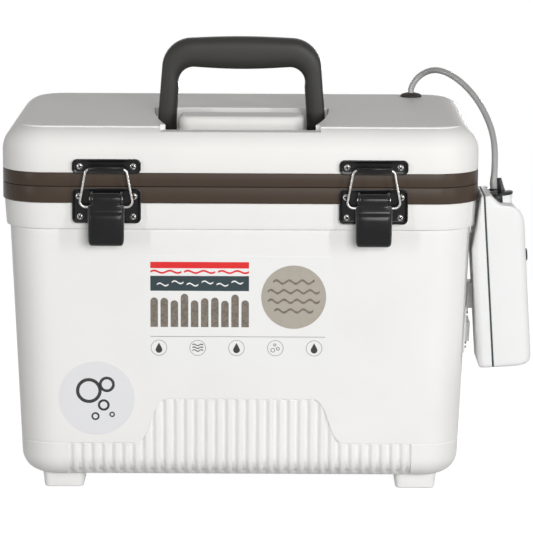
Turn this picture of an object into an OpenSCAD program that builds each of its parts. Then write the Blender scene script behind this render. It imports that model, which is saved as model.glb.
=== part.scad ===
// Box-shaped bait cooler with a clip-on battery air pump.
// Millimetres. Origin on the floor under the centre of the tub, front towards -Y, +Z up.

/* [Box] */
// Width over the rim bands, left to right
box_w = 368; // [350:2:400]
// Depth over the rim bands, front to back
box_d = 254; // [244:2:280]
// Plan radius of the upright corners at the bands
corner_r = 36; // [30:1:42]
// Height of the tub from its underside to the rim band
tub_h = 218.6; // [205:0.2:245]
// Height of the thicker collar under the band
collar_h = 20.6; // [18:0.2:24]
// How far the side of the tub stands in from the band
collar_step = 5.4; // [4:0.2:7]
// How far the collar's top edge stands in from the band
collar_reveal = 1.2; // [0.8:0.1:1.6]
// Taper of the tub's sides, in degrees
draft = 2.3; // [1.8:0.1:3]
// Rounding of the tub's lower edge
bottom_r = 17; // [14:1:22]
// Height of the feet
foot_h = 12; // [8:1:16]
// Width of a foot
foot_w = 31; // [26:1:36]
// Depth of a foot
foot_d = 34; // [26:1:38]

/* [Walls] */
// Wall of the outer shells
shell_t = 2.5; // [2:0.1:3.2]
// Thickness of the foam in the tub's wall
foam_t = 17; // [14:0.5:20]
// Wall of the inner liners
liner_t = 3; // [2.6:0.1:3.6]
// Gap between nested pieces
fit = 0.2; // [0.1:0.05:0.3]

/* [Rim and lid] */
// Height of the band on the tub
rim_h = 12.6; // [11:0.2:14]
// Radial thickness of both bands
band_t = 6; // [5:0.2:7]
// Gap between the tub's band and the lid's band
lid_gap = 0.4; // [0.35:0.05:0.6]
// Height of the band on the lid
lid_band_h = 10.4; // [9:0.2:12]
// Height of the lid above its band
lid_h = 34.4; // [33:0.2:40]
// Rounding of the lid's upper edge
lid_r = 20; // [14:1:22]
// Depth of the plug under the lid
plug_h = 8; // [6:0.5:10]
// Play around the plug in the mouth of the tub
plug_play = 1.5; // [1.2:0.1:2.5]
// Width of the lid's seal
seal_w = 8; // [6:0.5:9]
// Depth of the groove for the seal
seal_groove = 1.8; // [1.4:0.1:2]
// Gap under the seal
seal_gap = 0.3; // [0.25:0.05:0.34]

/* [Ribbed skirt] */
// Spacing of the ribs on the front
rib_pitch = 8; // [6:0.5:10]
// Width of the groove between two ribs
groove_w = 2.4; // [1.6:0.2:3]
// Depth of a groove under the smooth face
groove_depth = 2; // [1.4:0.1:2.2]
// Depth of the ribbed field under the smooth face
field_depth = 0.8; // [0.4:0.1:1.2]
// Half width of the ribbed field
field_half = 134; // [120:2:136]
// Height of the field's edge at its ends, over the tub's underside
field_low = 28; // [22:0.5:30]
// Height of the field's edge in the middle
field_high = 63.5; // [55:0.5:70]
// Half width of the raised middle of the field's edge
field_mid = 58; // [50:1:70]
// Width of each S-shaped step of the field's edge
field_step = 22; // [16:1:30]

/* [Handle] */
// Width of the handle over its legs
handle_w = 133.6; // [126:0.2:136]
// Width of a leg
leg_w = 15; // [13:0.5:16]
// Thickness of the handle, front to back
handle_t = 16; // [14:0.5:17]
// Height of the handle above its pivot
handle_h = 67.2; // [62:0.2:72]
// Height of the grip at its middle
grip_h = 26; // [22:0.5:28]
// Inward lean of each leg at the shoulder
leg_lean = 3.3; // [2:0.1:4]
// Outer radius of the shoulders
shoulder_r = 24; // [20:1:28]
// Inner radius of the hand opening
grip_corner_r = 12; // [8:1:14]
// Depth of the pivot under the lid's top
pivot_drop = 7.5; // [7:0.1:8.4]
// Distance of the pivot in front of the box's middle
pivot_y = 13.5; // [10:0.5:16]
// Diameter of the handle's pivot pins
handle_pin_d = 6; // [5:0.5:7]
// Length of a pivot pin
handle_pin_l = 21.5; // [20:0.5:24]

/* [Handle recess] */
// Width of the recess at its back
recess_w = 140; // [139:0.5:146]
// How much narrower each side is at the front
recess_taper = 8.6; // [6:0.2:9]
// Back wall of the recess, behind the box's middle
recess_back = 8; // [6:0.5:12]
// Distance from the lip of the recess to the front of the box
lip_w = 22; // [20:0.5:26]
// Depth of the recess
recess_depth = 16.5; // [16.2:0.1:17.5]
// Depth of the lip at the front of the recess
lip_depth = 3.8; // [3:0.1:5]
// Width of the raised block in the recess
island_w = 98; // [92:1:100]
// Front of the block, in front of the box's middle
island_front = 53.5; // [50:0.5:54]
// Back of the block, in front of the box's middle
island_back = 20; // [18:0.5:24]
// Bevel around the top of the block
island_bevel = 2; // [1:0.25:3]
// Plan radius of the block's corners, which clear the folded handle
island_r = 10; // [9:0.5:14]
// Outer diameter of the bosses for the pivot pins
boss_d = 12; // [10:0.5:12.5]

/* [Hinges] */
// Distance of each hinge from the middle
hinge_x = 95; // [80:1:105]
// Width of a hinge leaf
leaf_w = 50; // [42:1:60]
// Height of a hinge leaf
leaf_h = 25; // [23:0.5:26]
// Thickness of a hinge leaf
leaf_t = 1.8; // [1.5:0.1:2]
// Radius of the hinge barrel
barrel_r = 4; // [3.8:0.1:4.5]
// Diameter of the hinge pin
hinge_pin_d = 4; // [3.5:0.1:4.2]
// Gap between knuckles and between barrel and box
knuckle_gap = 0.35; // [0.3:0.05:0.5]

/* [Latches] */
// Distance of each latch from the middle
latch_x = 102; // [90:1:110]
// Width of the latch plates
plate_w = 52.6; // [50:0.2:56]
// Thickness of the latch plates
plate_t = 1.5; // [1.2:0.1:1.8]
// Height of the plate on the tub
plate_h = 27; // [25:0.5:29]
// Height of the keeper on the lid
keeper_h = 11.3; // [10.5:0.1:13]
// How far the plate on the tub stops under the rim
plate_drop = 0.9; // [0.6:0.1:1.5]
// Corner radius of the plates
plate_r = 4; // [2:0.5:5]
// Depth of the plates' turned edges
flange_h = 2.6; // [1.8:0.2:3]
// Width of the hook on the keeper
hook_w = 27; // [24:0.5:28]
// Thickness of the hook's metal
hook_t = 1.25; // [1:0.05:1.5]
// Diameter of the wire of the bail
wire_d = 2.3; // [2:0.1:2.5]
// Gap around the wire in the hook
wire_gap = 0.3; // [0.2:0.05:0.4]
// Width of the bail at the hook, between wire middles
bail_top_w = 32.2; // [31:0.2:34]
// Width of the bail at the lever, between wire middles
bail_low_w = 40; // [39:0.2:42]
// Height of the bail from its pivot to the bar in the hook
bail_h = 28.75; // [28:0.05:29.2]
// Width of the lever under its ears
lever_w = 27.8; // [26:0.2:28.4]
// Width of the lever's neck between the ears
neck_w = 20.4; // [18:0.2:21]
// Length of the lever under its pivot
lever_l = 36; // [32:0.5:40]
// Thickness of the lever's sheet
lever_t = 1.6; // [1.3:0.1:1.8]
// Radius of the lever's rolled top
lever_r = 4.2; // [4:0.1:4.4]
// Diameter of the lever's pivot pin
lever_pin_d = 3; // [2.6:0.1:3.2]
// Distance of the bail's pivot under the lever's pivot
bail_drop = 6.5; // [6.3:0.1:6.8]
// Distance of the bail's pivot behind the lever's pivot
bail_inset = 1; // [0.8:0.1:1.2]
// Thickness of an ear of the plate
ear_t = 1.6; // [1.3:0.1:1.8]
// Play at the side of the lever's neck
ear_gap = 0.3; // [0.25:0.05:0.4]

/* [Screws] */
// Diameter of the screws' shanks
screw_d = 3; // [2.5:0.1:3.2]
// Diameter of the screws' heads
screw_head_d = 5.3; // [5:0.1:5.6]
// Height of the screws' heads
screw_head_h = 1.3; // [1:0.1:1.4]
// Length of a shank inside the wall
screw_l = 5; // [4:0.5:5.5]
// Radial play of pins and shanks in their holes
pin_fit = 0.05; // [0.03:0.01:0.08]

/* [Air line] */
// Distance of the grommet from the middle, to the right
grommet_x = 140; // [132:1:144]
// Distance of the grommet from the middle, to the back
grommet_y = 92; // [84:1:94]
// Diameter of the grommet's flange
grommet_d = 17.7; // [16:0.1:20]
// Height of the grommet's flange
grommet_h = 3.4; // [2.6:0.1:4]
// Diameter of the grommet's stem
stem_d = 10; // [9:0.5:11]
// Outer diameter of the air hose
hose_d = 5; // [4.6:0.1:5.4]
// Diameter of the air stone
stone_d = 14; // [12:1:18]
// Length of the air stone
stone_l = 26; // [20:1:30]

/* [Air pump] */
// Thickness of the pump, away from the box
pump_t = 41.3; // [40:0.1:44]
// Width of the pump, front to back
pump_w = 57; // [56:0.5:60]
// Height of the pump
pump_h = 135; // [133:0.5:138]
// Distance of the seam from the pump's inner face
seam_x = 10.5; // [10:0.1:13]
// Thickness of the seam gasket
seam_t = 1.4; // [1:0.1:1.8]
// Wall of the pump's case
case_t = 2; // [1.8:0.1:2.4]
// Rounding of the case's upright edges
case_r = 7; // [6:0.5:8]
// Lean of the pump away from the box, in degrees
pump_lean = 3.8; // [3.5:0.1:4.2]
// Play between the pump and the side of the tub
pump_play = 1.6; // [1.2:0.1:2]
// Height of the pump's underside above the floor
pump_z = 99.5; // [98:0.5:101]
// Middle of the pump in front of the box's middle
pump_y = 83; // [80:1:86]
// Diameter of the battery cells
cell_d = 26; // [22:0.5:28]
// Length of a battery cell
cell_l = 50; // [46:0.5:50]
// Diameter of the switch knob
knob_d = 18; // [16:0.5:18.5]
// Height of the knob's fin
fin_h = 12; // [9:0.5:13]
// Height of the neck under the knob
neck_h = 5; // [4:0.5:6]
// Diameter of the knob's shaft
knob_shaft_d = 4; // [3:0.5:5]
// Diameter of the push button
button_d = 10; // [9:0.5:11]
// How far the button stands out
button_out = 2.7; // [2.2:0.1:3]
// Travel of the button
button_travel = 1.5; // [1:0.1:1.8]
// Play around the button and the knob
moving_gap = 0.35; // [0.3:0.05:0.5]

/* [Stickers] */
// Width of the square sheet on the front
sheet_w = 146; // [120:2:160]
// Height of the square sheet
sheet_h = 90; // [80:2:100]
// Middle of the square sheet from the box's middle
sheet_x = -1; // [-10:1:10]
// Lower edge of the square sheet over the floor
sheet_z = 99; // [88:1:104]
// Diameter of the round print on the sheet
disc_d = 50; // [40:1:54]
// Middle of the round print from the box's middle
disc_x = 41.5; // [30:0.5:44]
// Middle of the round print over the floor
disc_z = 157; // [146:0.5:162]
// Diameter of the round sticker in the corner
corner_disc_d = 59; // [50:1:60]
// Middle of the corner sticker from the box's middle
corner_disc_x = -111; // [-114:1:-108]
// Middle of the corner sticker over the floor
corner_disc_z = 76; // [70:1:80]

/* [Hidden] */
$fn = 48;

white = [0.95, 0.95, 0.94];
brown = [0.31, 0.26, 0.22];
charcoal = [0.2, 0.2, 0.19];
black = [0.05, 0.05, 0.05];
steel = [0.75, 0.75, 0.76];
foam_colour = [0.93, 0.9, 0.78];
hose_colour = [0.8, 0.82, 0.8];

// Levels above the floor
z_floor = foot_h;
z_collar = foot_h + tub_h - collar_h;
z_rim = foot_h + tub_h;
z_tub_top = z_rim + rim_h;
z_lid = z_tub_top + lid_gap;
z_lid_edge = z_lid + lid_band_h;
z_top = z_lid_edge + lid_h;
z_well = z_floor + shell_t + foam_t + liner_t;
z_ceiling = z_lid - plug_h;

// Half widths of the tub's body at a height, and the insets of its layers
side_in = collar_step;
body_r = corner_r - side_in;
function half_w(z) = box_w / 2 - side_in - (z_collar - min(z, z_collar)) * tan(draft);
function half_d(z) = box_d / 2 - side_in - (z_collar - min(z, z_collar)) * tan(draft);
foam_inset = shell_t + fit;
liner_inset = shell_t + foam_t + 2 * fit;
well_inset = liner_inset + liner_t;
well_r = 12;
front_y = box_d / 2;

// ---------- shared shapes ----------

module rounded_rect(w, d, r) {
    for (sx = [-1, 1], sy = [-1, 1]) translate([sx * (w / 2 - r), sy * (d / 2 - r)]) circle(r);
    square([w, d - 2 * r], center = true);
    square([w - 2 * r, d], center = true);
}

// The box's outline moved in by a distance, from one height to another
module box_slab(inset, z0, z1) {
    translate([0, 0, z0]) linear_extrude(z1 - z0)
        rounded_rect(box_w - 2 * inset, box_d - 2 * inset, corner_r - inset);
}

// A disc with a rounded lower edge
module rounded_foot(r, fillet) {
    rotate_extrude($fn = 40) polygon(concat(
        [[0, 0], [r - fillet, 0]],
        [for (a = [15:15:75]) [r - fillet + fillet * sin(a), fillet - fillet * cos(a)]],
        [[r, fillet], [0, fillet]]));
}

// The tapered body moved in by a distance, up to the collar
module body_form(inset, z0, r, fillet) {
    hull() for (sx = [-1, 1], sy = [-1, 1]) {
        translate([sx * (half_w(z0 + fillet) - inset - r), sy * (half_d(z0 + fillet) - inset - r), z0])
            rounded_foot(r, fillet);
        translate([sx * (half_w(z_collar - 1) - inset - r), sy * (half_d(z_collar - 1) - inset - r), z_collar - 1])
            cylinder(r = r, h = 1, $fn = 40);
    }
}

// The straight upper part of the body's layers
module body_neck(inset, r, z0, z1) {
    translate([0, 0, z0]) linear_extrude(z1 - z0)
        rounded_rect(2 * (half_w(z_collar) - inset), 2 * (half_d(z_collar) - inset), r);
}

// The lid's dome moved in by a distance, from a height to its rounded top
module lid_form(inset, z0, z1, fillet) {
    r = corner_r - inset;
    hull() for (sx = [-1, 1], sy = [-1, 1])
        translate([sx * (box_w / 2 - corner_r), sy * (box_d / 2 - corner_r), 0]) {
            translate([0, 0, z0]) cylinder(r = r, h = 1, $fn = 40);
            translate([0, 0, z1]) mirror([0, 0, 1]) rounded_foot(r, fillet);
        }
}

// Places its children in the plane of the tub's front, at the underside of the tub
module on_front() {
    translate([0, -half_d(z_floor), z_floor]) rotate([draft, 0, 0]) children();
}

// Places its children in the plane of the tub's right side, at a height
module on_side(y, z) {
    translate([half_w(z), y, z]) rotate([0, draft, 0]) children();
}

// A round bar along X, centred on x = 0
module bar_x(d, l) {
    rotate([0, 90, 0]) cylinder(d = d, h = l, center = true);
}

// A tube swept along points, with flat ends; it is used for the hoses and the bails
function unit(v) = v / norm(v);
function heading(p, i) = unit(p[min(i + 1, len(p) - 1)] - p[max(i - 1, 0)]);
function side_of(t) = unit(cross(t, abs(t[1]) > 0.9 ? [1, 0, 0] : [0, 1, 0]));
function carried(p, i) = i == 0 ? side_of(heading(p, 0))
    : let (t = heading(p, i), s = carried(p, i - 1)) unit(s - (s * t) * t);
function ring(c, t, s, r, n) = let (u = cross(t, s))
    [for (k = [0:n - 1]) c + r * (cos(360 * k / n) * s + sin(360 * k / n) * u)];

module swept(p, d, n) {
    m = len(p);
    points = [for (i = [0:m - 1]) each ring(p[i], heading(p, i), carried(p, i), d / 2, n)];
    walls = [for (i = [0:m - 2], k = [0:n - 1]) let (k2 = (k + 1) % n)
        [i * n + k, i * n + k2, (i + 1) * n + k2, (i + 1) * n + k]];
    start = [for (k = [n - 1:-1:0]) k];
    finish = [for (k = [0:n - 1]) (m - 1) * n + k];
    polyhedron(points, [for (f = concat(walls, [start, finish])) [for (j = [len(f) - 1:-1:0]) f[j]]],
        convexity = 8);
}

// A smooth curve through a list of points, with a number of steps between two of them
function mid(p, i, t) = let (a = p[max(i - 1, 0)], b = p[i], c = p[i + 1], e = p[min(i + 2, len(p) - 1)])
    0.5 * ((2 * b) + (c - a) * t + (2 * a - 5 * b + 4 * c - e) * t * t + (3 * b - a - 3 * c + e) * t * t * t);
function smooth(p, steps) = concat(
    [for (i = [0:len(p) - 2], k = [0:steps - 1]) mid(p, i, k / steps)], [p[len(p) - 1]]);

// ---------- screws ----------

latch_screw_low = [20.3, 5.2];
latch_screw_high = [21.2, 6.2];
keeper_screw = [20.3, 5.6];
plate_top = z_tub_top - plate_drop;
keeper_top = z_lid_edge - 0.6 + keeper_h;

// A screw pointing away from the wall along +Z, its head on z = 0
module screw(grip) {
    translate([0, 0, -grip - screw_l]) cylinder(d = screw_d, h = grip + screw_l + 0.5);
    difference() {
        cylinder(d = screw_head_d, h = screw_head_h);
        translate([0, 0, screw_head_h]) for (a = [0, 90]) rotate(a)
            cube([3.2, 0.8, 1.2], center = true);
    }
}

// The hole of a screw, a little deeper than its shank
module screw_hole(grip) {
    translate([0, 0, -grip - screw_l - fit]) cylinder(d = screw_d + 2 * pin_fit, h = grip + screw_l + fit + 1);
}

// Places its children at the front of a plate, pointing forward
module forward() {
    rotate([90, 0, 0]) children();
}

module at_latch_screws() {
    for (side = [-1, 1], sx = [-1, 1]) translate([side * latch_x, -front_y - plate_t, 0]) {
        translate([sx * latch_screw_high[0], 0, plate_top - latch_screw_high[1]]) forward() children();
        translate([sx * latch_screw_low[0], 0, plate_top - plate_h + latch_screw_low[1]]) forward() children();
    }
}

module at_keeper_screws() {
    for (side = [-1, 1], sx = [-1, 1])
        translate([side * latch_x + sx * keeper_screw[0], -front_y - plate_t, keeper_top - keeper_screw[1]])
            forward() children();
}

hinge_screw_dx = leaf_w / 2 - 8;
hinge_screw_dz = 15;
hinge_z = z_tub_top + lid_gap / 2;
hinge_y = box_d / 2 + barrel_r + knuckle_gap;

// Places its children at the hinge screws, pointing back; up is 1 on the lid and -1 on the tub
module at_hinge_screws(up) {
    for (side = [-1, 1], dx = [-1, 0, 1])
        translate([side * hinge_x + dx * hinge_screw_dx, box_d / 2 + leaf_t,
                   hinge_z + up * (hinge_screw_dz + (dx == 0 ? 4 : 0))])
            rotate([-90, 0, 0]) children();
}

bracket_y = -66;
bracket_z = 125;
bracket_w = 40;
bracket_h = 36;
bracket_screw_y = 16.5;
bracket_screw_z = 12;

module at_bracket_screws() {
    on_side(bracket_y, bracket_z) for (sy = [-1, 1], sz = [-1, 1])
        translate([plate_t, sy * bracket_screw_y, sz * bracket_screw_z]) rotate([0, 90, 0]) children();
}

// ---------- tub ----------

// Upper edge of the ribbed field: low at the ends, raised in the middle
function field_top(x) = let (a = abs(x), t = min(max((a - field_mid) / field_step, 0), 1))
    field_high + (field_low - field_high) * (1 - cos(180 * t)) / 2;

// The ribbed field seen from the front, moved in by a margin; it runs on below the tub
module field_outline(margin) {
    steps = 8;
    xs = concat([-field_half + margin],
                [for (k = [0:steps]) -field_mid - field_step + k * field_step / steps],
                [for (k = [0:steps]) field_mid + k * field_step / steps],
                [field_half - margin]);
    polygon(concat([for (x = xs) [x, field_top(x) - margin]],
                   [[field_half - margin, -20], [-field_half + margin, -20]]));
}

module field_prism(margin) {
    on_front() translate([0, 40, 0]) rotate([90, 0, 0]) linear_extrude(60) field_outline(margin);
}

rib_count = floor(2 * (field_half - 2) / rib_pitch);

// The narrow grooves between the ribs, cut down to their depth
module grooves() {
    difference() {
        intersection() {
            field_prism(2);
            on_front() for (k = [0:rib_count])
                translate([(k - rib_count / 2) * rib_pitch - groove_w / 2, -10, -18])
                    cube([groove_w, 50, field_high + 30]);
        }
        body_form(groove_depth, z_floor + groove_depth, body_r - groove_depth, bottom_r - groove_depth);
    }
}

module sunken_field() {
    difference() {
        field_prism(0);
        body_form(field_depth, z_floor + field_depth, body_r - field_depth, bottom_r - field_depth);
    }
}

module collar() {
    hull() {
        box_slab(collar_reveal, z_rim - 1, z_rim);
        box_slab(collar_reveal + 1.5, z_collar, z_collar + 1);
    }
}

// Flats on the collar behind the latch plates
module latch_pads() {
    for (side = [-1, 1])
        translate([side * latch_x - plate_w / 2 + 1, -front_y, plate_top - plate_h + 1])
            cube([plate_w - 2, 2 * side_in, z_rim - plate_top + plate_h - 1]);
}

// Flats on the collar behind the hinge leaves
module hinge_pads() {
    for (side = [-1, 1])
        translate([side * hinge_x - leaf_w / 2 + 1, box_d / 2 - 2 * side_in, hinge_z - leaf_h + 1])
            cube([leaf_w - 2, 2 * side_in, z_rim - hinge_z + leaf_h - 1]);
}

module tub_screw_holes() {
    at_latch_screws() screw_hole(plate_t);
    at_hinge_screws(-1) screw_hole(leaf_t);
    at_bracket_screws() screw_hole(plate_t);
}

module tub_shell() {
    color(white) difference() {
        union() {
            body_form(0, z_floor, body_r, bottom_r);
            collar();
            latch_pads();
            hinge_pads();
            box_slab(band_t + fit, z_rim - 1, z_tub_top - liner_t);
        }
        body_form(shell_t, z_floor + shell_t, body_r - shell_t, bottom_r - shell_t);
        body_neck(shell_t, body_r - shell_t, z_collar - 0.5, z_tub_top);
        sunken_field();
        grooves();
        tub_screw_holes();
    }
}

module tub_foam() {
    color(foam_colour) difference() {
        union() {
            body_form(foam_inset, z_floor + shell_t, body_r - foam_inset, bottom_r - foam_inset);
            body_neck(foam_inset, body_r - foam_inset, z_collar - 0.5, z_tub_top - liner_t);
        }
        body_form(liner_inset - fit, z_well - liner_t, well_r, well_r - 1);
        body_neck(liner_inset - fit, well_r, z_collar - 0.5, z_tub_top);
        tub_screw_holes();
    }
}

module tub_liner() {
    color(white) difference() {
        union() {
            body_form(liner_inset, z_well - liner_t, well_r, well_r - 1);
            body_neck(liner_inset, well_r, z_collar - 0.5, z_tub_top);
            box_slab(band_t + fit, z_tub_top - liner_t, z_tub_top);
        }
        body_form(well_inset, z_well, well_r, well_r - 1);
        body_neck(well_inset, well_r, z_collar - 0.5, z_tub_top + 1);
    }
}

module tub_band() {
    color(brown) difference() {
        box_slab(0, z_rim, z_tub_top);
        box_slab(band_t, z_rim - 1, z_tub_top + 1);
        tub_screw_holes();
    }
}

foot_inset = 0.8;

module feet() {
    color(white) for (sx = [-1, 1], sy = [-1, 1])
        translate([sx * (half_w(z_floor + bottom_r) - bottom_r - foot_inset - foot_w / 2),
                   sy * (half_d(z_floor + bottom_r) - bottom_r - foot_inset - foot_d / 2), 0])
            linear_extrude(foot_h) rounded_rect(foot_w, foot_d, foot_inset * 7);
}

// ---------- lid ----------

z_pivot = z_top - pivot_drop;
z_channel = z_top - recess_depth;
lip_y = -front_y + lip_w;

// Half width of the recess at a place along Y
function recess_half(y) = recess_w / 2 - recess_taper * pow((recess_back - y) / (recess_back - lip_y), 2);

module recess_outline(grow) {
    steps = 10;
    ys = [for (k = [0:steps]) recess_back - k * (recess_back - lip_y) / steps];
    polygon(concat(
        [[-recess_half(recess_back) - grow, recess_back + grow], [recess_half(recess_back) + grow, recess_back + grow]],
        [for (y = ys) [recess_half(y) + grow, y]],
        [[recess_half(lip_y) + grow, lip_y - grow], [-recess_half(lip_y) - grow, lip_y - grow]],
        [for (k = [steps:-1:0]) [-recess_half(ys[k]) - grow, ys[k]]]));
}

// The room of the recess: a deep channel and, at the front, the shallow lip
module recess_room() {
    translate([0, 0, z_channel]) linear_extrude(recess_depth + 5) recess_outline(0);
    translate([-recess_half(lip_y), -front_y - 1, z_top - lip_depth])
        cube([2 * recess_half(lip_y), lip_w + 2, lip_depth + 5]);
}

// Walls and floor around the recess, seen from inside the lid
module recess_walls(grow) {
    translate([0, 0, z_channel - grow]) linear_extrude(recess_depth + grow + 1) recess_outline(grow);
    translate([-recess_half(lip_y) - grow, -front_y - 1, z_top - lip_depth - grow])
        cube([2 * (recess_half(lip_y) + grow), lip_w + 2, lip_depth + 2 * grow]);
}

module island() {
    depth = island_front - island_back;
    translate([0, -island_back - depth / 2, z_channel - 0.5]) {
        linear_extrude(recess_depth + 0.5 - island_bevel) rounded_rect(island_w, depth, island_r);
        linear_extrude(recess_depth + 0.5)
            rounded_rect(island_w - 2 * island_bevel, depth - 2 * island_bevel, island_r - island_bevel);
    }
}

// Each pin starts inside the leg and ends in a boss behind the wall of the recess
pin_start = handle_w / 2 - leg_w + 2.4;
pin_end = pin_start + handle_pin_l;
boss_wall = 3.3;

module pin_bosses(grow) {
    start = recess_w / 2;
    end = pin_end + boss_wall;
    for (s = [-1, 1]) translate([s * (start + end) / 2, -pivot_y, z_pivot])
        bar_x(boss_d + 2 * grow, end - start + 2 * grow);
}

module at_handle_pins() {
    for (s = [-1, 1]) translate([s * (pin_start + pin_end) / 2, -pivot_y, z_pivot]) children();
}

module lid_screw_holes() {
    at_keeper_screws() screw_hole(plate_t);
    at_hinge_screws(1) screw_hole(leaf_t);
}

module hose_hole(d) {
    translate([grommet_x, grommet_y, z_ceiling - 5]) cylinder(d = d, h = z_top - z_ceiling + 10);
}

// The wider hole above it, for the stem of the grommet
stem_low = z_lid + liner_t + fit;

module stem_hole() {
    translate([grommet_x, grommet_y, stem_low - fit]) cylinder(d = stem_d + 2 * fit, h = z_top - stem_low + 5);
}

module lid_shell() {
    color(white) difference() {
        union() {
            difference() {
                lid_form(0, z_lid_edge, z_top, lid_r);
                difference() {
                    lid_form(shell_t, z_lid_edge - 1, z_top - shell_t, lid_r - shell_t);
                    recess_walls(shell_t);
                    pin_bosses(0);
                }
                recess_room();
            }
            island();
        }
        at_handle_pins() bar_x(handle_pin_d + 2 * pin_fit, handle_pin_l + 2 * fit);
        lid_screw_holes();
        stem_hole();
    }
}

mouth_inset = side_in + well_inset;

module lid_foam() {
    color(foam_colour) difference() {
        union() {
            lid_form(foam_inset, z_lid_edge, z_top - shell_t, lid_r - foam_inset);
            box_slab(band_t + fit, z_lid + liner_t, z_lid_edge + 1);
            plug_block(plug_play + liner_t + fit, z_ceiling + liner_t, z_lid + liner_t + 1);
        }
        recess_walls(foam_inset);
        pin_bosses(fit);
        lid_screw_holes();
        stem_hole();
        hose_hole(hose_d + 2 * fit);
    }
}

// A block the size of the tub's mouth, moved in by a distance
module plug_block(inset, z0, z1) {
    translate([0, 0, z0]) linear_extrude(z1 - z0)
        rounded_rect(box_w - 2 * (mouth_inset + inset), box_d - 2 * (mouth_inset + inset), well_r);
}

seal_inset = mouth_inset - plug_play - 2 - seal_w;

module seal_ring(play, z0, z1) {
    difference() {
        box_slab(seal_inset - play, z0, z1);
        translate([0, 0, z0 - 1]) linear_extrude(z1 - z0 + 2)
            rounded_rect(box_w - 2 * (seal_inset + seal_w + play), box_d - 2 * (seal_inset + seal_w + play),
                         corner_r - seal_inset - play);
    }
}

module lid_liner() {
    color(white) difference() {
        union() {
            box_slab(band_t + fit, z_lid, z_lid + liner_t);
            plug_block(plug_play, z_ceiling, z_lid + 1);
        }
        plug_block(plug_play + liner_t, z_ceiling + liner_t, z_lid + liner_t + 1);
        seal_ring(fit, z_lid - 1, z_lid + seal_groove);
        hose_hole(hose_d + 2 * fit);
    }
}

module lid_seal() {
    color(charcoal) seal_ring(0, z_tub_top + seal_gap, z_lid + seal_groove);
}

module lid_band() {
    color(brown) difference() {
        box_slab(0, z_lid, z_lid_edge);
        box_slab(band_t, z_lid - 1, z_lid_edge + 1);
        lid_screw_holes();
    }
}

// ---------- hinges ----------

// One leaf: a plate on the box and its knuckles; up is 1 on the lid and -1 on the tub.
// The lid's leaf has the middle knuckle, the tub's leaf the outer two.
module hinge_leaf(up) {
    third = leaf_w / 3;
    middles = up > 0 ? [0] : [-third, third];
    difference() {
        union() {
            translate([-leaf_w / 2, box_d / 2, up > 0 ? hinge_z + barrel_r + knuckle_gap : hinge_z - leaf_h])
                cube([leaf_w, leaf_t, leaf_h - barrel_r - knuckle_gap]);
            for (m = middles) translate([m, 0, 0]) {
                translate([0, hinge_y, hinge_z]) bar_x(2 * barrel_r, third - knuckle_gap);
                translate([-(third - knuckle_gap) / 2, box_d / 2, up > 0 ? hinge_z + 1 : hinge_z - barrel_r - 2])
                    cube([third - knuckle_gap, leaf_t, barrel_r + 1]);
            }
        }
        translate([0, hinge_y, hinge_z]) bar_x(hinge_pin_d + 2 * pin_fit, leaf_w + 2);
        at_hinge_screws_local(up);
    }
}

module at_hinge_screws_local(up) {
    for (dx = [-1, 0, 1])
        translate([dx * hinge_screw_dx, box_d / 2 + leaf_t, hinge_z + up * (hinge_screw_dz + (dx == 0 ? 4 : 0))])
            rotate([-90, 0, 0]) screw_hole(leaf_t);
}

module hinge_leaves_tub() {
    color(steel) for (s = [-1, 1]) translate([s * hinge_x, 0, 0]) hinge_leaf(-1);
}

module hinge_leaves_lid() {
    color(steel) for (s = [-1, 1]) translate([s * hinge_x, 0, 0]) hinge_leaf(1);
}

module hinge_pins() {
    color(steel) for (s = [-1, 1]) translate([s * hinge_x, hinge_y, hinge_z]) {
        bar_x(hinge_pin_d, leaf_w + 1);
        for (e = [-1, 1]) translate([e * (leaf_w / 2 + 1), 0, 0]) bar_x(hinge_pin_d + 2, 1.4);
    }
}

module hinge_screws_tub() {
    color(steel) at_hinge_screws(-1) screw(leaf_t);
}

module hinge_screws_lid() {
    color(steel) at_hinge_screws(1) screw(leaf_t);
}

// ---------- latches ----------

// The bar of the bail lies in the hook; the lever's pivot is under it and a little further out
bar_lift = 3.9;
bar_y = -front_y - plate_t - bar_lift - wire_d / 2 - wire_gap;
hook_z = keeper_top - keeper_h + 1.3;
bar_z = hook_z + hook_t + wire_gap + wire_d / 2;
bail_pivot = [bar_y, bar_z - bail_h];
lever_pivot = [bar_y - bail_inset, bar_z - bail_h + bail_drop];
lip_z = bar_z + 2.3;

module flanged_plate(h, z_low) {
    translate([0, -front_y, 0]) rotate([90, 0, 0]) linear_extrude(plate_t)
        translate([0, z_low + h / 2]) rounded_rect(plate_w, h, plate_r);
    for (sx = [-1, 1]) translate([sx * (plate_w / 2 - 0.6), -front_y - flange_h / 2, z_low + h / 2])
        cube([1.2, flange_h, h - 2 * plate_r], center = true);
}

module keeper() {
    difference() {
        flanged_plate(keeper_h, keeper_top - keeper_h);
        translate([latch_x, 0, 0]) at_keeper_screws() screw_hole(plate_t);
        translate([-latch_x, 0, 0]) at_keeper_screws() screw_hole(plate_t);
    }
    // hook: a shelf and the lip in front of the bar
    reach = -bar_y - front_y + wire_d / 2 + wire_gap + hook_t;
    translate([-hook_w / 2, -front_y - reach, hook_z]) cube([hook_w, reach, hook_t]);
    translate([-hook_w / 2, -front_y - reach, hook_z]) cube([hook_w, hook_t, lip_z - hook_z]);
}

module keeper_left() {
    color(black) translate([-latch_x, 0, 0]) keeper();
}

module keeper_right() {
    color(black) translate([latch_x, 0, 0]) keeper();
}

module keeper_screws() {
    color(steel) at_keeper_screws() screw(plate_t);
}

ear_r = 4;
ear_x = neck_w / 2 + ear_gap + ear_t / 2;

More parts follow.
